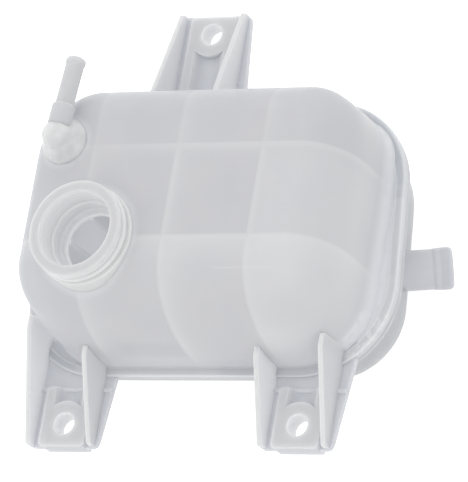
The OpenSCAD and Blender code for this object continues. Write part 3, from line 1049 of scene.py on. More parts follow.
@dataclass(frozen=True)
class FrontShell:
    """The front moulding's dome and weld flange.

    The pairs of lip_round, lip_start, edge_round and weld_round are offsets, outwards and upwards, of the
    rows that round an edge. The values that end in lit mark how much painted light, for light coming through,
    those rows get.
    """

    form: TankForm = FORM
    hole_r: float = 18.5
    farthest: float = 240.0
    columns: int = 480
    top_rows: int = 10
    side_rows: int = 72
    floor_soft: float = 0.3
    lip_gap: float = 0.05
    lip_round: tuple[tuple[float, float], ...] = ((0.12, -0.1), (0.4, 0.0))
    lip_start: tuple[float, float] = (0.02, -0.35)
    lip_end: tuple[float, float] = (0.8, 0.9)
    edge_start: float = 1.5
    edge_round: tuple[tuple[float, float], ...] = ((-0.9, 0.0), (-0.2, -0.12), (0.0, -0.5))
    edge_side: float = 1.3
    weld_round: tuple[tuple[float, float], ...] = ((0.0, 0.35), (-0.12, 0.08), (-0.35, 0.0))
    foot_lit: float = 0.85
    foot_glow: tuple[float, float] = (1.3, 9.0)
    rim_lit: float = 0.15
    side_lit: float = 0.4

    def rays(self) -> np.ndarray:
        """Directions of the columns round the neck's axis."""
        return np.linspace(0.0, 2 * math.pi, self.columns, endpoint=False)

    def reach(self, inside: Callable[[np.ndarray, np.ndarray], np.ndarray],
              shape: tuple[int, ...]) -> np.ndarray:
        """Distance from the neck's axis at which each ray leaves a ring, found by halving.

        Args:
            inside: tells which points are inside the ring.
            shape: rows and columns of the result.

        Returns:
            The distances.
        """
        cx, cy = self.form.neck
        cosine, sine = np.cos(self.rays()), np.sin(self.rays())
        return left_at(lambda radius: inside(cx + radius * cosine, cy + radius * sine),
                       np.zeros(shape), np.full(shape, self.farthest))[0]

    def dome_reach(self, z: np.ndarray, t: float) -> np.ndarray:
        """Distance to the dome's face at heights z, in rows, t inside its outer face."""
        return self.reach(lambda x, y: self.form.in_dome(x, y, z, t), z.shape)

    def flange_reach(self, inset: float) -> np.ndarray:
        """Distance to the flange's outline, set in by inset."""
        radius = self.form.flange_r - inset
        return self.reach(lambda x, y: self.form.in_flange(x, y, radius), (1, self.columns))

    def skin(self, t: float, bottom: np.ndarray, rows: int) -> tuple[np.ndarray, np.ndarray]:
        """Rows of one face of the dome, from the neck's hole outwards and down.

        Formula: over the flat top the radius grows evenly from the hole to the top's edge. From there the
        height falls as the cosine of an angle that goes from 0 to 90 degrees, and the radius is where the
        ray leaves the ring at that height.

        Args:
            t: distance inside the outer face.
            bottom: height of the last row in each column.
            rows: rows down the side.

        Returns:
            The radii and the heights above the weld plane.
        """
        cx, cy = self.form.neck
        hole_x, hole_y = cx + self.hole_r * np.cos(self.rays()), cy + self.hole_r * np.sin(self.rays())
        start = self.form.dome_height(hole_x, hole_y, t)[None, :]
        edge = np.maximum(self.dome_reach(start, t), self.hole_r)
        share = np.linspace(0.0, 1.0, self.top_rows)[:, None]
        flat_r = self.hole_r + (edge - self.hole_r) * share
        angle = np.linspace(0.0, math.pi / 2, rows)[1:, None]
        side_z = bottom + (start - bottom) * np.cos(angle)
        side_r = self.dome_reach(side_z, t)
        return np.vstack([flat_r, side_r]), np.vstack([start + 0 * flat_r, side_z])

    def rim(self, foot: np.ndarray, floor: np.ndarray, room: np.ndarray
            ) -> list[tuple[np.ndarray, np.ndarray | float, bool, float]]:
        """Rows of the flange, from the dome's foot over the raised rim and round its edge to the weld face.

        Formula: the rows go along the floor, up the rim's lip, over its top, round its edge and down. Where
        the room beside the dome's foot ends, the lip's rounding fades with it.

        Args:
            foot: radius of the dome's foot in each column.
            floor: height of the flange's floor in each column.
            room: distance from the dome's foot to the rim in each column.

        Returns:
            For each row: its radius, its height, whether it gets a painted highlight as a bright edge, and
                how much painted light it gets.
        """
        soft, top = np.clip(room, 0, 1), self.form.flange_t
        lip = np.maximum(self.flange_reach(self.form.rim_w), foot + self.lip_gap)
        edge = self.flange_reach(0.0)
        rise, drop = self.lip_start
        flat, least = self.lip_end
        rows = [
            (foot + (lip - foot) * 0.5, floor, False, self.foot_lit),
            (lip - self.floor_soft * soft, floor, False, self.foot_lit),
            (lip, floor + self.floor_soft * soft, False, self.foot_lit),
            (lip + rise, top + drop * soft, True, self.rim_lit)]
        rows += [(lip + out, top + up, True, self.rim_lit) for out, up in self.lip_round]
        rows += [(lip + flat, top, False, self.rim_lit),
                 (np.maximum(edge - self.edge_start, lip + least), top, False, self.rim_lit)]
        (out, up), *rounding = self.edge_round
        rows.append((edge + out, top + up, True, self.rim_lit))
        rows += [(edge + out, top + up, True, self.side_lit) for out, up in rounding]
        rows.append((edge, top - self.edge_side, False, self.side_lit))
        return rows + [(edge + out, up, False, self.side_lit) for out, up in self.weld_round]

    def shell(self) -> bpy.types.Object:
        """Builds the dome and its flange as one closed surface.

        Formula: in each half-plane round the neck's axis one closed path runs from the neck's hole over the
        dome, across the flange's floor, over the raised rim, round its edge, back along the weld face and
        up the inner face to the hole. Where the dome's foot reaches the rim, the floor rises to meet it.

        Returns:
            The piece, with its edges for a painted highlight and its parts for painted light marked.
        """
        form, one = self.form, np.ones((1, self.columns))
        room = self.flange_reach(form.rim_w) - self.dome_reach(form.flange_floor * one, 0.0)
        sunk = np.clip(room - self.floor_soft, 0.0, 1.0)
        floor = form.flange_t - (form.flange_t - form.flange_floor) * sunk
        out_r, out_z = self.skin(0.0, floor, self.side_rows)
        in_r, in_z = self.skin(form.wall, 0.0 * one, self.side_rows // 2)
        radii, heights, bright, lit = zip(*self.rim(out_r[-1:], floor, room))
        radius = np.vstack([out_r, *radii, in_r[::-1]])
        height = np.vstack([out_z, *[z * one for z in heights], in_z[::-1]])
        # Painted light at the dome's foot: rows near the flange's floor glow, fading up the side.
        start, fall = self.foot_glow
        foot_glow = self.foot_lit * np.clip(start - (out_z - floor).min(axis=1) / fall, 0.0, 1.0)
        marks = {
            "edge": np.concatenate([np.zeros(len(out_r)), np.array(bright, float), np.zeros(len(in_r))]),
            "lit": np.concatenate([foot_glow, lit, np.ones(len(in_r))]),
        }
        cx, cy = form.neck
        grid = np.stack([cx + radius * np.cos(self.rays()), cy + radius * np.sin(self.rays()),
                         form.seam_z + height], -1)
        return from_grid("front_shell", grid, True, marks=marks)


@dataclass(frozen=True)
class WallRun:
    """A stretch of an inner wall: its axis, its place across it, its ends and whether it is in the well."""

    axis: int
    place: float
    start: float
    end: float
    in_well: bool = False


@dataclass(frozen=True)
class InnerWalls:
    """The grid of walls inside both shells."""

    form: TankForm = FORM
    half_run: float = 120.0
    search_steps: int = 1201
    samples: int = 90
    bite: float = 0.3
    upward: float = 0.9

    def runs(self) -> list[WallRun]:
        """Lists the stretches of the walls, parted where the well under the neck cuts them.

        Formula: a wall that is nearer to the well's axis than the well's radius is cut over the half chord
        sqrt(r^2 - d^2) on each side of it.

        Returns:
            The stretches.
        """
        runs, far = [], self.half_run
        for axis, places in ((1, self.form.baffle_x), (0, self.form.baffle_y)):
            middle = self.form.neck[axis]
            for place in places:
                off = place - self.form.neck[1 - axis]
                if abs(off) < self.form.well_r:
                    half = math.sqrt(self.form.well_r**2 - off**2)
                    runs += [WallRun(axis, place, -far, middle - half),
                             WallRun(axis, place, middle - half, middle + half, True),
                             WallRun(axis, place, middle + half, far)]
                else:
                    runs.append(WallRun(axis, place, -far, far))
        return runs

    def slab(self, name: str, run: WallRun, front: bool) -> bpy.types.Object | None:
        """Builds one stretch of wall.

        Formula: at each step along the wall a rectangle stands between the weld plane and the shell's inner
        face over it, and the rectangles are joined in order.

        Args:
            name: the piece's name.
            run: the stretch.
            front: whether it stands in the front shell.

        Returns:
            The piece, or None where the stretch has no height.
        """
        if front and run.in_well:
            return None
        form, axis, depth = self.form, run.axis, self.form.wall - self.bite
        fine = np.linspace(run.start, run.end, self.search_steps)
        x, y = (run.place + 0 * fine, fine) if axis == 1 else (fine, run.place + 0 * fine)
        inside = form.in_flange(x, y, form.back_radius(np.zeros(1), depth))
        if front:
            inside = form.in_dome(x, y, np.zeros(1), depth)
        along = np.linspace(fine[inside][0], fine[inside][-1], self.samples)
        x, y = (run.place + 0 * along, along) if axis == 1 else (along, run.place + 0 * along)
        if front:
            low, high = 0 * along, form.dome_height(x, y, depth)
            beside_neck = np.hypot(x - form.neck[0], y - form.neck[1]) < form.sleeve_r
            high = np.where(beside_neck, np.minimum(high, form.seat_z - form.seam_z), high)
        else:
            low = -form.bowl_depth(x, y, depth)
            high = 0 * along + (form.well_floor - form.seam_z if run.in_well else 0.0)
        half = form.baffle_t / 2
        grid = np.zeros((self.samples, 4, 3))
        grid[:, :, axis] = along[:, None]
        grid[:, :, 1 - axis] = run.place + np.array([-half, half, half, -half])
        grid[:, :2, 2] = form.seam_z + low[:, None]
        grid[:, 2:, 2] = form.seam_z + high[:, None]
        wall = from_grid(name, grid, False, caps=True)
        # The walls' upward tops get the bright copy: painted light.
        picked_out(wall, 1, lambda _, normal: normal[:, 2] > self.upward)
        return wall


@dataclass(frozen=True)
class RearShell:
    """The rear moulding's bowl, its flange and its hose spigot.

    The places of bead_start, collar, ridge, nose, deep_end and groove are measured back from the spigot's
    end.
    """

    form: TankForm = FORM
    farthest: float = 200.0
    columns: int = 360
    floor_rows: int = 6
    side_rows: int = 26
    edge_round: tuple[tuple[float, float], ...] = ((-0.5, 0.0), (-0.12, 0.12), (0.0, 0.5))
    spigot_y: float = -5.8
    spigot_drop: float = 24.5
    spigot_yaw: float = 14.0
    spigot_tilt: float = 24.0
    spigot_len: float = 20.5
    spigot_root: float = 6.0
    spigot_r: float = 9.7
    spigot_bore: float = 7.2
    bore_reach: float = 14.0
    bore_columns: int = 64
    bead: float = 0.5
    bead_start: float = 9.5
    collar: tuple[float, float] = (9.2, 8.0)
    ridge: tuple[float, float] = (6.0, 2.0)
    nose: float = 0.7
    nose_slope: tuple[float, float] = (0.1, 1.2)
    rounding: float = 0.5
    deep_end: float = 9.4
    groove: tuple[float, float] = (7.0, 1.2)

    def rays(self) -> np.ndarray:
        """Directions of the columns round the origin."""
        return np.linspace(0.0, 2 * math.pi, self.columns, endpoint=False)

    def reach(self, radius: np.ndarray) -> np.ndarray:
        """Distance from the origin at which each ray leaves the outline of that corner radius.

        Args:
            radius: corner radius of each row.

        Returns:
            Distances in rows and columns.
        """
        shape, cosine, sine = (len(radius), self.columns), np.cos(self.rays()), np.sin(self.rays())
        return left_at(lambda far: self.form.in_flange(far * cosine, far * sine, radius[:, None]),
                       np.zeros(shape), np.full(shape, self.farthest))[0]

    def bowl(self) -> bpy.types.Object:
        """Builds the bowl and its flange as one closed surface.

        Formula: in each half-plane round the origin one path runs from the middle of the back outwards,
        up the rounded side, out under the flange, round its edge, in along the weld face and down the
        inner face to the middle of the floor.

        Returns:
            The piece, with its inside marked for painted light.
        """
        form, top = self.form, self.form.flange_t
        turn = np.linspace(math.pi / 2, 0.0, self.side_rows)
        rows: list[tuple[np.ndarray, np.ndarray]] = []
        for t, end in ((0.0, top), (form.wall, 0.0)):
            depth = form.seam_z - form.back_edge + (form.back_edge - t) * np.sin(turn)
            side = np.append(depth, end)
            reach = self.reach(form.back_radius(side, t))
            floor = reach[:1] * np.linspace(0.0, 1.0, self.floor_rows + 1)[:-1, None]
            depths = np.concatenate([np.full(self.floor_rows, depth[0]), side])
            rows.append((np.vstack([floor, reach]), depths))
        (out_r, out_d), (in_r, in_d) = rows
        edge = self.reach(np.array([form.flange_r - form.rear_inset]))
        rim = [(edge + out, top - up) for out, up in self.edge_round]
        rim += [(edge + out, up) for out, up in self.edge_round[::-1]]
        radius = np.vstack([out_r, *[r for r, _ in rim], in_r[::-1]])
        depth = np.concatenate([out_d, [d for _, d in rim], in_d[::-1]])[:, None]
        grid = np.stack([radius * np.cos(self.rays()), radius * np.sin(self.rays()),
                         form.seam_z - depth + 0 * radius], -1)
        inside = np.arange(len(radius)) >= len(radius) - len(in_r)
        return from_grid("rear_shell", grid, False, marks={"lit": inside.astype(float)})

    def spigot_place(self) -> tuple[np.ndarray, np.ndarray]:
        """Places the spigot's axis on the bowl's side.

        Returns:
            The foot and the direction of the axis.
        """
        yaw, tilt = math.radians(self.spigot_yaw), math.radians(self.spigot_tilt)
        form = self.form
        foot = np.array([form.flange_x_low + form.flange_r - form.back_inset, self.spigot_y,
                         form.seam_z - self.spigot_drop])
        level = math.cos(tilt)
        return foot, np.array([math.cos(yaw) * level, math.sin(yaw) * level, -math.sin(tilt)])

    def spigot(self) -> bpy.types.Object:
        """Builds the hollow spigot with its bead by turning its section round its axis.

        Formula: the section goes out along the pipe, over a low collar and the bead to the sloping nose, and
        back along the bore.

        Returns:
            The piece, with its thicker end marked as deep.
        """
        r, end, bead, bore = self.spigot_r, self.spigot_len, self.bead, self.spigot_bore
        (collar, collar_end), (ridge, ridge_end), (slope, tip) = self.collar, self.ridge, self.nose_slope
        section = rounded(np.array([
            (r, -self.spigot_root), (r, end - self.bead_start), (r + bead / 2, end - collar),
            (r + bead / 2, end - collar_end), (r + bead, end - ridge), (r + bead, end - ridge_end),
            (r + slope, end - self.nose), (r - tip, end), (bore, end), (bore, -self.spigot_root)]),
            self.rounding)
        groove, half = self.groove
        deep = (section[:, 1] > end - self.deep_end) & (np.abs(section[:, 1] - end + groove) > half)
        grid = placed(turned(section), *self.spigot_place())
        return from_grid("hose_spigot", grid, True, marks={"deep": deep.astype(float)})

    def build(self) -> list[bpy.types.Object]:
        """Builds the rear moulding's pieces, with the spigot's bore cut through the bowl.

        Returns:
            The bowl and the spigot.
        """
        bowl, far = self.bowl(), self.bore_reach
        bore = turned(np.array([(0.0, -far), (self.spigot_bore, -far), (self.spigot_bore, far), (0.0, far)]),
                      self.bore_columns)
        combine(bowl, from_grid("bore", placed(bore, *self.spigot_place()), False), Cut.TAKE_AWAY)
        return [bowl, self.spigot()]


@dataclass(frozen=True)
class FillerNeck:
    """The threaded neck with its stepped bore, sleeve and seat.

    The places of step_z and mouth_depth are measured down from the top, and those of seat_wall up from the
    seat.
    """

    form: TankForm = FORM
    columns: int = 160
    height: float = 12.5
    radius: float = 23.0
    mouth_r: float = 19.0
    mouth_depth: float = 12.0
    step_w: float = 0.35
    step_z: tuple[float, float] = (3.2, 3.6)
    throat_r: float = 17.4
    sleeve_t: float = 2.2
    seat_r: float = 14.6
    seat_depth: float = 23.5
    seat_t: float = 2.0
    seat_w: float = 0.9
    seat_wall: tuple[float, float] = (2.4, 3.0)
    seat_near: float = 0.75
    lip_h: float = 2.4
    lip_w: float = 1.0
    foot_h: float = 2.0
    foot_w: float = 2.0
    foot_slope: float = 0.4
    rounding: float = 0.6
    inside_past: float = 0.05
    inside_top: float = 0.3
    pitch: float = 4.4
    turns: float = 1.6
    turn_steps: int = 60
    fade_steps: float = 8.0
    ridge: float = 1.3
    ridge_half: float = 1.25
    ridge_root: float = 0.5
    ridge_core: float = 1.2
    ridge_columns: int = 9
    ridge_blunt: float = 0.8

    @property
    def top(self) -> float:
        """Height of the neck's top."""
        return self.form.dome_top + self.height

    @property
    def foot(self) -> float:
        """Height of the foot ring's top."""
        return self.form.dome_top + self.foot_h

    def neck(self) -> bpy.types.Object:
        """Builds the neck.

        Formula: its stepped section, which goes up outside and down the bore to the seat, is turned round its
        axis.

        Returns:
            The piece, with the throat and the seat's edge in brighter copies of the plastic, painted light.
        """
        top, foot, base = self.top, self.foot, self.top - self.seat_depth
        outer, lip, seat = self.radius + self.foot_w, self.radius + self.lip_w, base + self.seat_t
        (step_start, step_end), (wall_low, wall_high) = self.step_z, self.seat_wall
        bore = self.mouth_r - self.step_w
        section = np.array([
            (self.seat_r, base), (self.throat_r + self.sleeve_t, base), (outer, base + self.foot_slope),
            (outer, foot), (self.radius, foot), (self.radius, top - self.lip_h), (lip, top - self.lip_h),
            (lip, top), (self.mouth_r, top), (self.mouth_r, top - step_start),
            (bore, top - step_end), (bore, top - self.mouth_depth),
            (self.throat_r, top - self.mouth_depth), (self.throat_r, seat + wall_high),
            (self.throat_r - self.seat_w, seat + wall_low), (self.throat_r - self.seat_w, seat),
            (self.seat_r, seat)])
        cx, cy = self.form.neck
        grid = placed(turned(rounded(section, self.rounding), self.columns), (cx, cy, 0.0))
        neck = from_grid("filler_neck", grid, True)
        picked_out(neck, 1, lambda middle, _: (
            (np.hypot(middle[:, 0] - cx, middle[:, 1] - cy) < self.mouth_r + self.inside_past)
            & (middle[:, 2] < top - self.inside_top)))
        picked_out(neck, 2, lambda middle, _: (
            (np.hypot(middle[:, 0] - cx, middle[:, 1] - cy) < self.seat_r + self.seat_w)
            & (np.abs(middle[:, 2] - seat) < self.seat_near)))
        return neck

    def thread(self) -> bpy.types.Object:
        """Builds the thread.

        Formula: a blunt ridge section is carried along a helix. Its height over the neck is a power of
        sqrt(1 - s^2) across the ridge, faded in and out over the helix's ends.

        Returns:
            The piece.
        """
        count = int(self.turns * self.turn_steps)
        step = np.arange(count + 1)
        angle = 2 * math.pi * step / self.turn_steps
        fade = np.minimum(1.0, np.minimum(step, count - step) / self.fade_steps)
        across = np.linspace(-1.0, 1.0, self.ridge_columns)
        ridge = np.sqrt(np.clip(1 - across**2, 0, 1)) ** self.ridge_blunt
        root = self.radius - self.ridge_root
        radius = root + (self.ridge_root + self.ridge) * fade[:, None] * ridge
        radius = np.concatenate([radius, np.full((count + 1, 1), self.radius - self.ridge_core)], 1)
        offset = np.append(self.ridge_half * across, 0.0)
        height = self.foot + self.ridge + self.pitch * step[:, None] / self.turn_steps + offset
        grid = np.stack([radius * np.cos(angle)[:, None], radius * np.sin(angle)[:, None], height], -1)
        return from_grid("neck_thread", placed(grid, (*self.form.neck, 0.0)), False, caps=True)

    def build(self) -> list[bpy.types.Object]:
        """Builds the neck and its thread."""
        return [self.neck(), self.thread()]


@dataclass(frozen=True)
class VentNipple:
    """The turret and the vent nipple that leaves it."""

    form: TankForm = FORM
    columns: int = 72
    turret_r: float = 11.5
    cap_r: float = 6.9
    cap_start: float = 8.0
    cap_rows: int = 14
    rise: float = 9.0
    sunk: float = 9.0
    shoulder: tuple[tuple[float, float], ...] = ((0.0, 1.2), (-0.35, 2.2))
    skirt: tuple[float, float] = (0.5, 1.2)
    tilt: float = 8.0
    radius: float = 4.5
    bore: float = 2.6
    length: float = 41.6
    root: float = 15.5
    root_w: float = 1.1
    root_step: float = 0.3
    barb: float = 0.4
    barb_z: tuple[float, float, float] = (3.4, 2.2, 0.8)
    rounding: float = 0.45

    def turret(self) -> bpy.types.Object:
        """Builds the turret.

        Formula: its section, a shoulder, a sloping skirt and a quarter circle, is turned round its axis.

        Returns:
            The piece.
        """
        top = self.form.dome_top
        arc = np.radians(np.linspace(self.cap_start, 90.0, self.cap_rows))
        cap = np.stack([self.cap_r * np.cos(arc), top + self.rise + self.cap_r * np.sin(arc)], -1)
        cap[-1, 0] = 0.0
        out, down = self.skirt
        lower = np.array([
            (0.0, top - self.sunk), (self.turret_r, top - self.sunk),
            *((self.turret_r + wider, top + height) for wider, height in self.shoulder),
            (self.cap_r + out, top + self.rise - down)])
        grid = placed(turned(np.vstack([lower, cap])), (*self.form.turret, 0.0))
        return from_grid("vent_turret", grid, False)

    def nipple(self) -> bpy.types.Object:
        """Builds the hollow nipple.

        Formula: its section, a thicker root, the pipe and a barb with a sloping nose, is turned round its
        axis.

        Returns:
            The piece.
        """
        r, end, root_r = self.radius, self.length, self.radius + self.root_w
        start, rise, drop = self.barb_z
        section = rounded(np.array([
            (root_r, 0.0), (root_r, self.root), (r, self.root + self.root_step), (r, end - start),
            (r + self.barb, end - rise), (r + self.barb, end - drop), (r - self.barb, end),
            (self.bore, end), (self.bore, 0.0)]), self.rounding)
        tilt = math.radians(self.tilt)
        foot = (*self.form.turret, self.form.dome_top + self.rise)
        axis = (0.0, math.cos(tilt), -math.sin(tilt))
        return from_grid("vent_nipple", placed(turned(section, self.columns), foot, axis), True)

    def build(self) -> list[bpy.types.Object]:
        """Builds the turret and the nipple."""
        return [self.turret(), self.nipple()]


@dataclass(frozen=True)
class Bracket:
    """One gusseted bracket, drawn with its bolt at the origin and the tank towards +Y.

    The values from bore_near on tell which faces of the finished bracket get the copies of the plastic with
    painted light and painted shade.
    """

    name: str
    bolt: tuple[float, float]
    pad_tip: float
    wall_left: float
    wall_right: float
    off: float
    turned_round: bool = False
    form: TankForm = FORM
    bolt_r: float = 5.5
    boss_r: float = 11.5
    boss_back: float = 0.2
    pad_t: float = 10.5
    pad_h: float = 4.0
    pad_w: float = 12.5
    pad_start: float = 0.2
    pad_corner: float = 2.5
    trough_r: float = 9.5
    trough_ends: tuple[float, float] = (4.0, 12.0)
    plate_t: float = 2.5
    plate_corner: float = 3.5
    tip: float = 11.0
    plate_w: tuple[float, float] = (19.0, 24.0)
    plate_flare: float = 8.0
    plate_run: float = 19.0
    gusset_x: float = 18.0
    gusset_t: float = 2.2
    gusset_h: tuple[float, float] = (5.0, 23.5)
    gusset_left_drop: float = 1.0
    gusset_start: float = 0.5
    gusset_sink: float = 0.4
    gusset_over: float = 7.0
    gusset_corner: float = 1.2
    ledge_gap: float = 6.1
    ledge_t: float = 1.6
    ledge_z: tuple[float, float] = (-0.5, 1.5)
    hole_past: float = 2.0
    rounding: float = 0.45
    bore_near: float = 0.1
    upright: float = 0.5
    sideways: float = 0.95
    edge_above: float = 3.0
    side_near: float = 0.5

    @property
    def reach(self) -> float:
        """Distance from the bolt to the flange's edge.

        Returns:
            The distance along Y.
        """
        low, high = self.form.flange_y
        if self.turned_round:
            return self.bolt[1] - high - self.form.flange_r
        return low - self.form.flange_r - self.bolt[1]

    @property
    def plate_top(self) -> float:
        """Height of the plate's top."""
        return self.form.seam_z + self.plate_t

    @property
    def pad_top(self) -> float:
        """Height of the pad's top."""
        return self.plate_top + self.pad_h

    @property
    def pad_end(self) -> float:
        """Place of the pad's end towards the tank."""
        return self.reach - self.ledge_gap

    def pad(self) -> bpy.types.Object:
        """Builds the raised pad as a rounded rectangle drawn out upwards.

        Returns:
            The solid, in the bracket's name.
        """
        half, end, tip = self.pad_w, self.pad_end, -self.pad_tip
        outline = rounded(np.array([(-half, end), (-half, tip), (half, tip), (half, end)]), self.pad_corner)
        return prism(self.name, outline, self.form.seam_z + self.pad_start, self.pad_top, Along.Z)

    def trough(self) -> bpy.types.Object:
        """Builds the cylinder that hollows the pad behind the bolt.

        Returns:
            The solid.
        """
        start, past = self.trough_ends
        outline = circle(self.trough_r, 0.0, self.pad_top + self.trough_r - self.pad_h)
        return prism("trough", outline, start, self.reach + past, Along.Y)

    def boss(self) -> bpy.types.Object:
        """Builds the bolt's boss: a half circle closed by the pad's tip, drawn out upwards.

        Returns:
            The solid.
        """
        half, back = min(self.boss_r, self.pad_w), -self.pad_tip + self.boss_back
        ring = circle(self.boss_r)
        outline = np.vstack([ring[ring[:, 1] > 0], [(-half, back), (half, back)]])
        return prism("boss", outline, self.pad_top - self.pad_t, self.pad_top, Along.Z)

    def plate(self) -> bpy.types.Object:
        """Builds the plate, which widens from its tip to the flange and runs on under it.

        Returns:
            The solid.
        """
        narrow, wide = self.plate_w
        tip, flare, end = -self.tip, self.reach + self.plate_flare, self.reach + self.plate_run
        outline = rounded(np.array([
            (-wide, flare), (-narrow, tip), (narrow, tip), (wide, flare), (wide, end), (-wide, end)]),
            self.plate_corner)
        return prism("plate", outline + (self.off, 0.0), self.form.seam_z, self.plate_top, Along.Z)

    def ledge(self) -> bpy.types.Object:
        """Builds the low ledge across the plate at the pad's end.

        Returns:
            The solid.
        """
        half, (low, high) = self.plate_w[1] - self.ledge_t, self.ledge_z
        outline = np.array([(-half, 0), (half, 0), (half, self.ledge_t), (-half, self.ledge_t)])
        outline += (self.off, self.pad_end - self.ledge_t)
        return prism("ledge", outline, self.plate_top + low, self.plate_top + high, Along.Z)

    def gusset(self, side: int, wall: float, top: float) -> bpy.types.Object:
        """Builds one gusset, which rises in a straight line from the plate's tip to the dome's wall.

        Args:
            side: -1 for the gusset at -X and 1 for the one at +X.
            wall: distance from the bolt to the dome's wall.
            top: the gusset's height there.

        Returns:
            The solid.
        """
        start, end = self.gusset_start - self.tip, wall + self.gusset_over
        outline = rounded(np.array([
            (start, -self.gusset_sink), (start, self.gusset_h[0]), (wall, top), (end, top),
            (end, -self.gusset_sink)]), self.gusset_corner)
        outline[:, 1] += self.plate_top
        middle = self.off + side * (self.gusset_x - self.gusset_t / 2)
        return prism("gusset", outline, middle - self.gusset_t / 2, middle + self.gusset_t / 2, Along.X)

    def hole(self) -> bpy.types.Object:
        """Builds the cylinder that the bolt's hole is cut with.

        Returns:
            The solid.
        """
        low, high = self.pad_top - self.pad_t - self.hole_past, self.pad_top + self.hole_past
        return prism("hole", circle(self.bolt_r), low, high, Along.Z)

    def dressed(self, bracket: bpy.types.Object) -> None:
        """Gives the bolt's bore and the gussets' edges brighter copies of the plastic, painted light, and the
        gussets' sides a lit copy inside and a darker copy outside, painted light and painted shade.

        Args:
            bracket: the bracket, still round its bolt.
        """
        high = self.plate_top + self.edge_above
        # The bolt's bore gets a bright copy: painted light.
        picked_out(bracket, 1, lambda middle, normal: (
            (np.hypot(middle[:, 0], middle[:, 1]) < self.bolt_r + self.bore_near)
            & (np.abs(normal[:, 2]) < self.upright)))
        # The gussets' top edges get a lighter copy: painted highlight.
        picked_out(bracket, 2, lambda middle, normal: (
            (middle[:, 2] > high) & (np.abs(normal[:, 0]) < self.sideways)
            & (np.abs(np.abs(middle[:, 0] - self.off) - self.gusset_x + self.gusset_t / 2) < self.gusset_t)))
        if self.turned_round:
            return
        # Sides facing the bracket's middle get a lit copy, painted light; sides facing out a darker copy,
        # painted shade.
        for number, sign in ((3, -1), (4, 1)):
            picked_out(bracket, number, lambda middle, normal: (
                (middle[:, 2] > self.plate_top) & (np.abs(normal[:, 0]) > self.sideways)
                & (np.abs(middle[:, 0] - self.off) > self.gusset_x - self.gusset_t - self.side_near)
                & (sign * normal[:, 0] * np.sign(middle[:, 0] - self.off) > 0)))

    def build(self) -> bpy.types.Object:
        """Builds the bracket and moves it to its bolt.

        Returns:
            The piece.
        """
        bracket, top = self.pad(), self.gusset_h[1]
        combine(bracket, self.trough(), Cut.TAKE_AWAY)
        for solid in (self.boss(), self.plate(), self.ledge(),
                      self.gusset(-1, self.wall_left, top - self.gusset_left_drop),
                      self.gusset(1, self.wall_right, top)):
            combine(bracket, solid, Cut.JOIN)
        combine(bracket, self.hole(), Cut.TAKE_AWAY)
        softened(bracket, self.rounding)
        self.dressed(bracket)
        place = Matrix.Translation(Vector((*self.bolt, 0.0)) * MM)
        if self.turned_round:
            place = place @ Matrix.Rotation(math.pi, 4, "Z")
        bracket.data.transform(place)
        return bracket


@dataclass(frozen=True)
class Lamp:
    """A square soft lamp: its place and its side in metres and its power in watts."""

    name: str
    place: tuple[float, float, float]
    size: float
    power: float

    def build(self, aim: Vector) -> None:
        """Adds the lamp.

        Args:
            aim: the point that it looks at, in metres.
        """
        data = bpy.data.lights.new(self.name, "AREA")
        data.size = self.size
        data.energy = self.power
        lamp = bpy.data.objects.new(self.name, data)
        bpy.context.scene.collection.objects.link(lamp)
        place = Vector(self.place)
        turn = (aim - place).to_track_quat("-Z", "Y").to_matrix().to_4x4()
        lamp.matrix_world = Matrix.Translation(place) @ turn


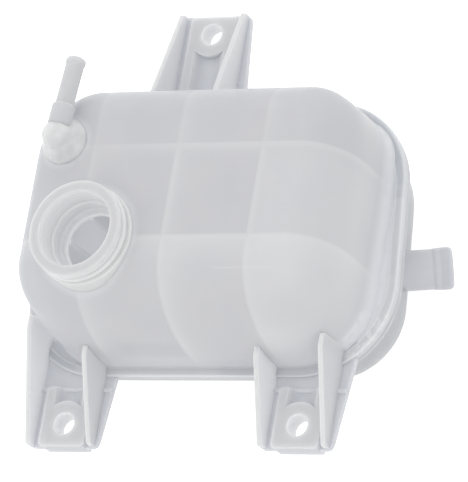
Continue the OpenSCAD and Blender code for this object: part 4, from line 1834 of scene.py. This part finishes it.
@dataclass(frozen=True)
class Studio:
    """Camera, lamps and ground."""

    towards_camera: tuple[float, float, float] = (0.4765, -0.3213, 0.8184)
    roll: float = 0.72
    aim: tuple[float, float, float] = (0.0, 0.0, 60.0)
    distance: float = 2500.0
    pixels_per_mm: float = 2.0926
    aim_pixel: tuple[float, float] = (208.8, 232.4)
    picture: tuple[int, int] = (468, 482)
    sensor: float = 36.0
    clip_end: float = 20.0
    white: float = 1.0
    sky: float = 0.92
    lamps: tuple[Lamp, ...] = (
        Lamp("key", (-0.5, 0.6, 1.3), 0.8, 1.0),
        Lamp("fill", (1.3, -1.0, 0.35), 1.0, 1.0),
    )
    ground_half: float = 3000.0
    ground_z: float = -0.6
    ground_colour: tuple[float, float, float, float] = (0.8, 0.8, 0.8, 1.0)
    ground_light: float = 0.66

    def camera(self) -> None:
        """Sets the camera so that the aim point falls on its pixel and +X runs level, turned by the roll."""
        out = Vector(self.towards_camera).normalized()
        right = Vector((0, 1, 0)).cross(out).normalized()
        up = out.cross(right)
        lean = math.atan2(up.x, right.x) - math.radians(self.roll)
        across = math.cos(lean) * right + math.sin(lean) * up
        upward = out.cross(across)
        data = bpy.data.cameras.new("camera")
        width, height = self.picture
        data.sensor_fit = "VERTICAL"
        data.sensor_height = self.sensor
        data.lens = self.pixels_per_mm * self.distance * self.sensor / height
        data.shift_x = (width / 2 - self.aim_pixel[0]) / height
        data.shift_y = (self.aim_pixel[1] - height / 2) / height
        data.clip_end = self.clip_end
        camera = bpy.data.objects.new("camera", data)
        bpy.context.scene.collection.objects.link(camera)
        turn = Matrix((across, upward, out)).transposed().to_4x4()
        place = (Vector(self.aim) + self.distance * out) * MM
        camera.matrix_world = Matrix.Translation(place) @ turn
        bpy.context.scene.camera = camera

    def seen_directly(self, graph: Graph) -> bpy.types.NodeSocket:
        """Builds a mask that is 1 for rays of the camera, of reflections and of glass.

        Args:
            graph: the nodes that it goes into.

        Returns:
            The mask's socket.
        """
        path = graph.add("ShaderNodeLightPath")
        either = graph.math("MAXIMUM", path.outputs["Is Camera Ray"], path.outputs["Is Glossy Ray"])
        return graph.math("MAXIMUM", either, path.outputs["Is Transmission Ray"])

    def background(self) -> None:
        """Makes a sky that is seen as white and lights the tank at a plain level."""
        world = bpy.data.worlds.new("sky")
        bpy.context.scene.world = world
        world.use_nodes = True
        graph = Graph(world.node_tree)
        background = world.node_tree.nodes["Background"]
        strength = graph.scaled(self.seen_directly(graph), self.sky, self.white)
        graph.feed(background.inputs["Color"], (1.0, 1.0, 1.0, 1.0))
        graph.feed(background.inputs["Strength"], strength)

    def ground(self) -> None:
        """Makes a ground that is seen as white and keeps a faint shadow."""
        half, z = self.ground_half, self.ground_z
        corners = np.array([(-half, -half, z), (half, -half, z), (half, half, z), (-half, half, z)])
        ground = new_piece("ground", corners, [[0, 1, 2, 3]])
        material = bpy.data.materials.new("white ground")
        material.use_nodes = True
        graph = Graph(material.node_tree)
        shader = material.node_tree.nodes["Principled BSDF"]
        light = graph.math("MULTIPLY", self.seen_directly(graph), self.ground_light)
        for key, value in (
                ("Base Color", self.ground_colour), ("Roughness", 1.0), ("Specular IOR Level", 0.0),
                ("Emission Color", (1.0, 1.0, 1.0, 1.0)), ("Emission Strength", light)):
            graph.feed(shader.inputs[key], value)
        ground.data.materials.append(material)

    def build(self) -> None:
        """Sets the camera, the sky, the ground and the lamps."""
        self.camera()
        self.background()
        self.ground()
        for lamp in self.lamps:
            lamp.build(Vector(self.aim) * MM)


EVERYWHERE = (-200.0, 200.0)
# Painted shade: darker below 51.2 mm, under the rim's top.
SHADE_UNDER_THE_RIM = Patch(EVERYWHERE, EVERYWHERE, (-200.0, 51.2), 1.0, 1.0)


class Look(Enum):
    """The tank's finishes: the plastic in plain colours and in copies with painted light and painted shade.
    """

    # The shell's wall-line glow, rim edges, light from inside and most of its patches are painted light and
    # painted shade.
    SHELL = MilkyPlastic(
        "milky shell", (0.515, 0.513, 0.531), (0.39, 0.415, 0.45), (0.645, 0.645, 0.655), line_share=0.45,
        glow_share=0.5, has_rim=True, has_inside=True,
        patches=(
            # Painted shade seen through the low flank.
            Patch((-32.0, 2.0), (-90.0, -40.0), (62.0, 73.0), 0.45, 3.0),
            Patch((13.0, 33.0), (-90.0, -40.0), (47.0, 57.0), 0.45, 3.0),
            # A bluish darker patch at the upper left, by the turret.
            Patch((-75.0, -55.5), (43.0, 62.0), (60.0, 110.0), 0.5),
            # Painted light: glow and highlights on the right part of the dome.
            Patch((60.0, 76.0), (-44.0, -24.0), (60.0, 110.0), 0.4, 8.0, True),
            Patch((48.0, 80.0), (-90.0, -56.0), (50.0, 85.0), 0.55, 6.0, True),
            Patch((52.0, 120.0), (-90.0, 22.0), (60.0, 120.0), 0.3, 5.0, True),
            # Painted shade in the low corners by the lower brackets.
            Patch((-110.0, -66.0), (-110.0, -42.0), (40.0, 60.0), 0.8, 3.0),
            Patch((40.0, 90.0), (-110.0, -60.0), (40.0, 51.0), 0.5, 1.5),
            # Painted shade on the left flank and along the far top edge, against the key lamp's light.
            Patch((-140.0, -72.0), (-80.0, 60.0), (50.0, 110.0), 0.58, 6.0),
            Patch((-140.0, 140.0), (55.0, 90.0), (50.0, 110.0), 0.45, 3.0),
            # A faint light line on the top, a mark in the moulding.
            Patch((31.0, 62.0), (-35.8, -35.0), (90.0, 120.0), 0.4, 0.4, True),
            # Painted glints: bright specks in the right-hand groove.
            Patch((78.0, 130.0), (-100.0, -38.0), (47.5, 56.0), 1.0, 1.5, True, 260.0),
            # Painted shade in the upper right groove and under the rim.
            Patch((60.0, 130.0), (20.0, 110.0), (44.0, 55.0), 0.8, 2.0),
            replace(SHADE_UNDER_THE_RIM, share=0.1),
            # Painted light along the low side's foot.
            Patch(EVERYWHERE, (-200.0, -59.0), (50.6, 53.0), 0.25, 1.2, True),
        ))
    # Painted shade: the neck's top face is painted darker.
    NECK = MilkyPlastic("milky neck", (0.58, 0.58, 0.575), (0.46, 0.46, 0.465),
                        cloud_and_highlight_share=0.1, lit_through=0.21,
                        patches=(Patch((-70.0, 0.0), (-60.0, 20.0), (118.9, 122.0), 1.0, 0.3),))
    # A brighter copy for the neck's inside, painted light, with light rings where the thread shows through.
    THROAT = MilkyPlastic("milky throat", (0.60, 0.60, 0.61), (0.57, 0.575, 0.59), (0.68, 0.68, 0.68),
                          lit_through=0.22, ring_share=0.4)
    NIPPLE = MilkyPlastic("milky nipple", (0.53, 0.53, 0.545), (0.465, 0.475, 0.50))
    # Its deep colour is brighter than its body, so its clouds are painted highlights.
    TURRET = MilkyPlastic("milky turret", (0.595, 0.595, 0.60), (0.72, 0.72, 0.72),
                          cloud_and_highlight_share=0.9, cloud_and_highlight_size=150.0)
    # Below the rim's top the bracket's plate and trough get painted shade.
    BRACKET = MilkyPlastic("milky bracket", (0.505, 0.505, 0.515), (0.44, 0.455, 0.49),
                           lit_through=0.19, patches=(replace(SHADE_UNDER_THE_RIM, share=0.8),))
    # A bright copy for the bolt's bore: painted light.
    LIT_BORE = MilkyPlastic("milky bolt bore with painted light", (0.70, 0.70, 0.71), (0.66, 0.665, 0.68),
                        lit_through=0.2)
    # A lighter copy for the gussets' top edges: painted highlight.
    LIT_GUSSET_EDGE = MilkyPlastic("milky gusset edge with painted highlight", (0.52, 0.52, 0.52), (0.48, 0.485, 0.49), lit_through=0.18)
    # A bright copy for the seat's edge and the inner walls' tops: painted light.
    LIT_EDGE = MilkyPlastic("milky edge with painted light", (0.74, 0.74, 0.74), (0.70, 0.70, 0.70),
                             lit_through=0.2)
    # The gussets' inner sides: a lit copy, painted light.
    LIT_INNER_SIDE = MilkyPlastic("milky inner side with painted light", (0.565, 0.565, 0.575), (0.51, 0.525, 0.55), lit_through=0.2,
                              patches=(replace(SHADE_UNDER_THE_RIM, share=0.5),))
    # The gussets' outer sides: a darker copy, painted shade.
    SHADED_OUTER_SIDE = MilkyPlastic("milky outer side with painted shade", (0.44, 0.44, 0.45), (0.38, 0.39, 0.42),
                              lit_through=0.19, patches=(replace(SHADE_UNDER_THE_RIM, share=0.5),))
    # The bowl's inside gets painted light from inside the tank.
    REAR = MilkyPlastic("milky rear", (0.475, 0.48, 0.50), (0.39, 0.405, 0.44),
                        has_inside=True)
    SPIGOT = MilkyPlastic("milky spigot", (0.55, 0.55, 0.58), (0.44, 0.455, 0.495),
                          deep_share=0.6)
    # A lighter copy for the inner walls: painted light.
    INNER_WALL = MilkyPlastic("milky inner wall", (0.58, 0.585, 0.60), (0.53, 0.54, 0.56),
                              lit_through=0.18)


BRACKETS = (
    Bracket("bracket_lower_left", (-65.4, -94.4), 11.3, 42.0, 28.0, -1.0),
    Bracket("bracket_lower_right", (60.5, -94.4), 11.3, 28.0, 32.0, -1.0),
    Bracket("bracket_upper", (-22.0, 106.8), 9.0, 46.0, 46.0, 0.8, turned_round=True),
)


@dataclass(frozen=True)
class Tank:
    """Both mouldings, in the finishes given."""

    finish: dict[Look, bpy.types.Material]

    def dressed(self, piece: bpy.types.Object, slot: Slot, *looks: Look) -> bpy.types.Object:
        """Hands a piece over in some of the finishes."""
        return handed_over(piece, [self.finish[look] for look in looks])

    def front(self) -> list[bpy.types.Object]:
        """Builds the front moulding's pieces, without its inner walls.

        Returns:
            The pieces.
        """
        pieces = [self.dressed(FrontShell().shell(), Slot.FRONT, Look.SHELL)]
        for piece in FillerNeck().build():
            pieces.append(self.dressed(piece, Slot.FRONT, Look.NECK, Look.THROAT, Look.LIT_EDGE))
        for piece, look in zip(VentNipple().build(), (Look.TURRET, Look.NIPPLE)):
            pieces.append(self.dressed(piece, Slot.FRONT, look))
        for bracket in BRACKETS:
            pieces.append(self.dressed(bracket.build(), Slot.FRONT, Look.BRACKET, Look.LIT_BORE, Look.LIT_GUSSET_EDGE,
                                       Look.LIT_INNER_SIDE, Look.SHADED_OUTER_SIDE))
        return pieces

    def rear(self) -> list[bpy.types.Object]:
        """Builds the rear moulding's pieces, without its inner walls.

        Returns:
            The pieces.
        """
        pieces = zip(RearShell().build(), (Look.REAR, Look.SPIGOT))
        return [self.dressed(piece, Slot.REAR, look) for piece, look in pieces]

    def inner_walls(self) -> tuple[list[bpy.types.Object], list[bpy.types.Object]]:
        """Builds the inner walls.

        Returns:
            Those of the front moulding and those of the rear one.
        """
        walls, front, rear = InnerWalls(), [], []
        for number, run in enumerate(walls.runs()):
            for side, slot, pieces in (("front", Slot.FRONT, front), ("rear", Slot.REAR, rear)):
                wall = walls.slab(f"inner_wall_{side}_{number}", run, slot is Slot.FRONT)
                if wall is not None:
                    pieces.append(self.dressed(wall, slot, Look.INNER_WALL, Look.LIT_EDGE))
        return front, rear


def main() -> None:
    """Builds the tank's pieces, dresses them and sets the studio."""
    logging.basicConfig(level=logging.INFO, format="%(name)s %(message)s")
    effects = Effects(walls=SeenWalls().group(), clouds=CloudsAndHighlights().group(), grain=Grain().group(),
                      patch=SoftBox().group(), inside_light=InsideLight().group())
    tank = Tank({look: look.value.made(effects) for look in Look})
    front, rear = tank.front(), tank.rear()
    for pieces, walls in zip((front, rear), tank.inner_walls()):
        pieces += walls
    for piece in front:
        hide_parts("upper_shell")
    for piece in rear:
        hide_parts("lower_shell")
    bpy.context.scene.view_settings.view_transform = "Standard"
    Studio().build()
    log.info("pieces: %d", len(front) + len(rear))


if __name__ == "__main__":
    main()
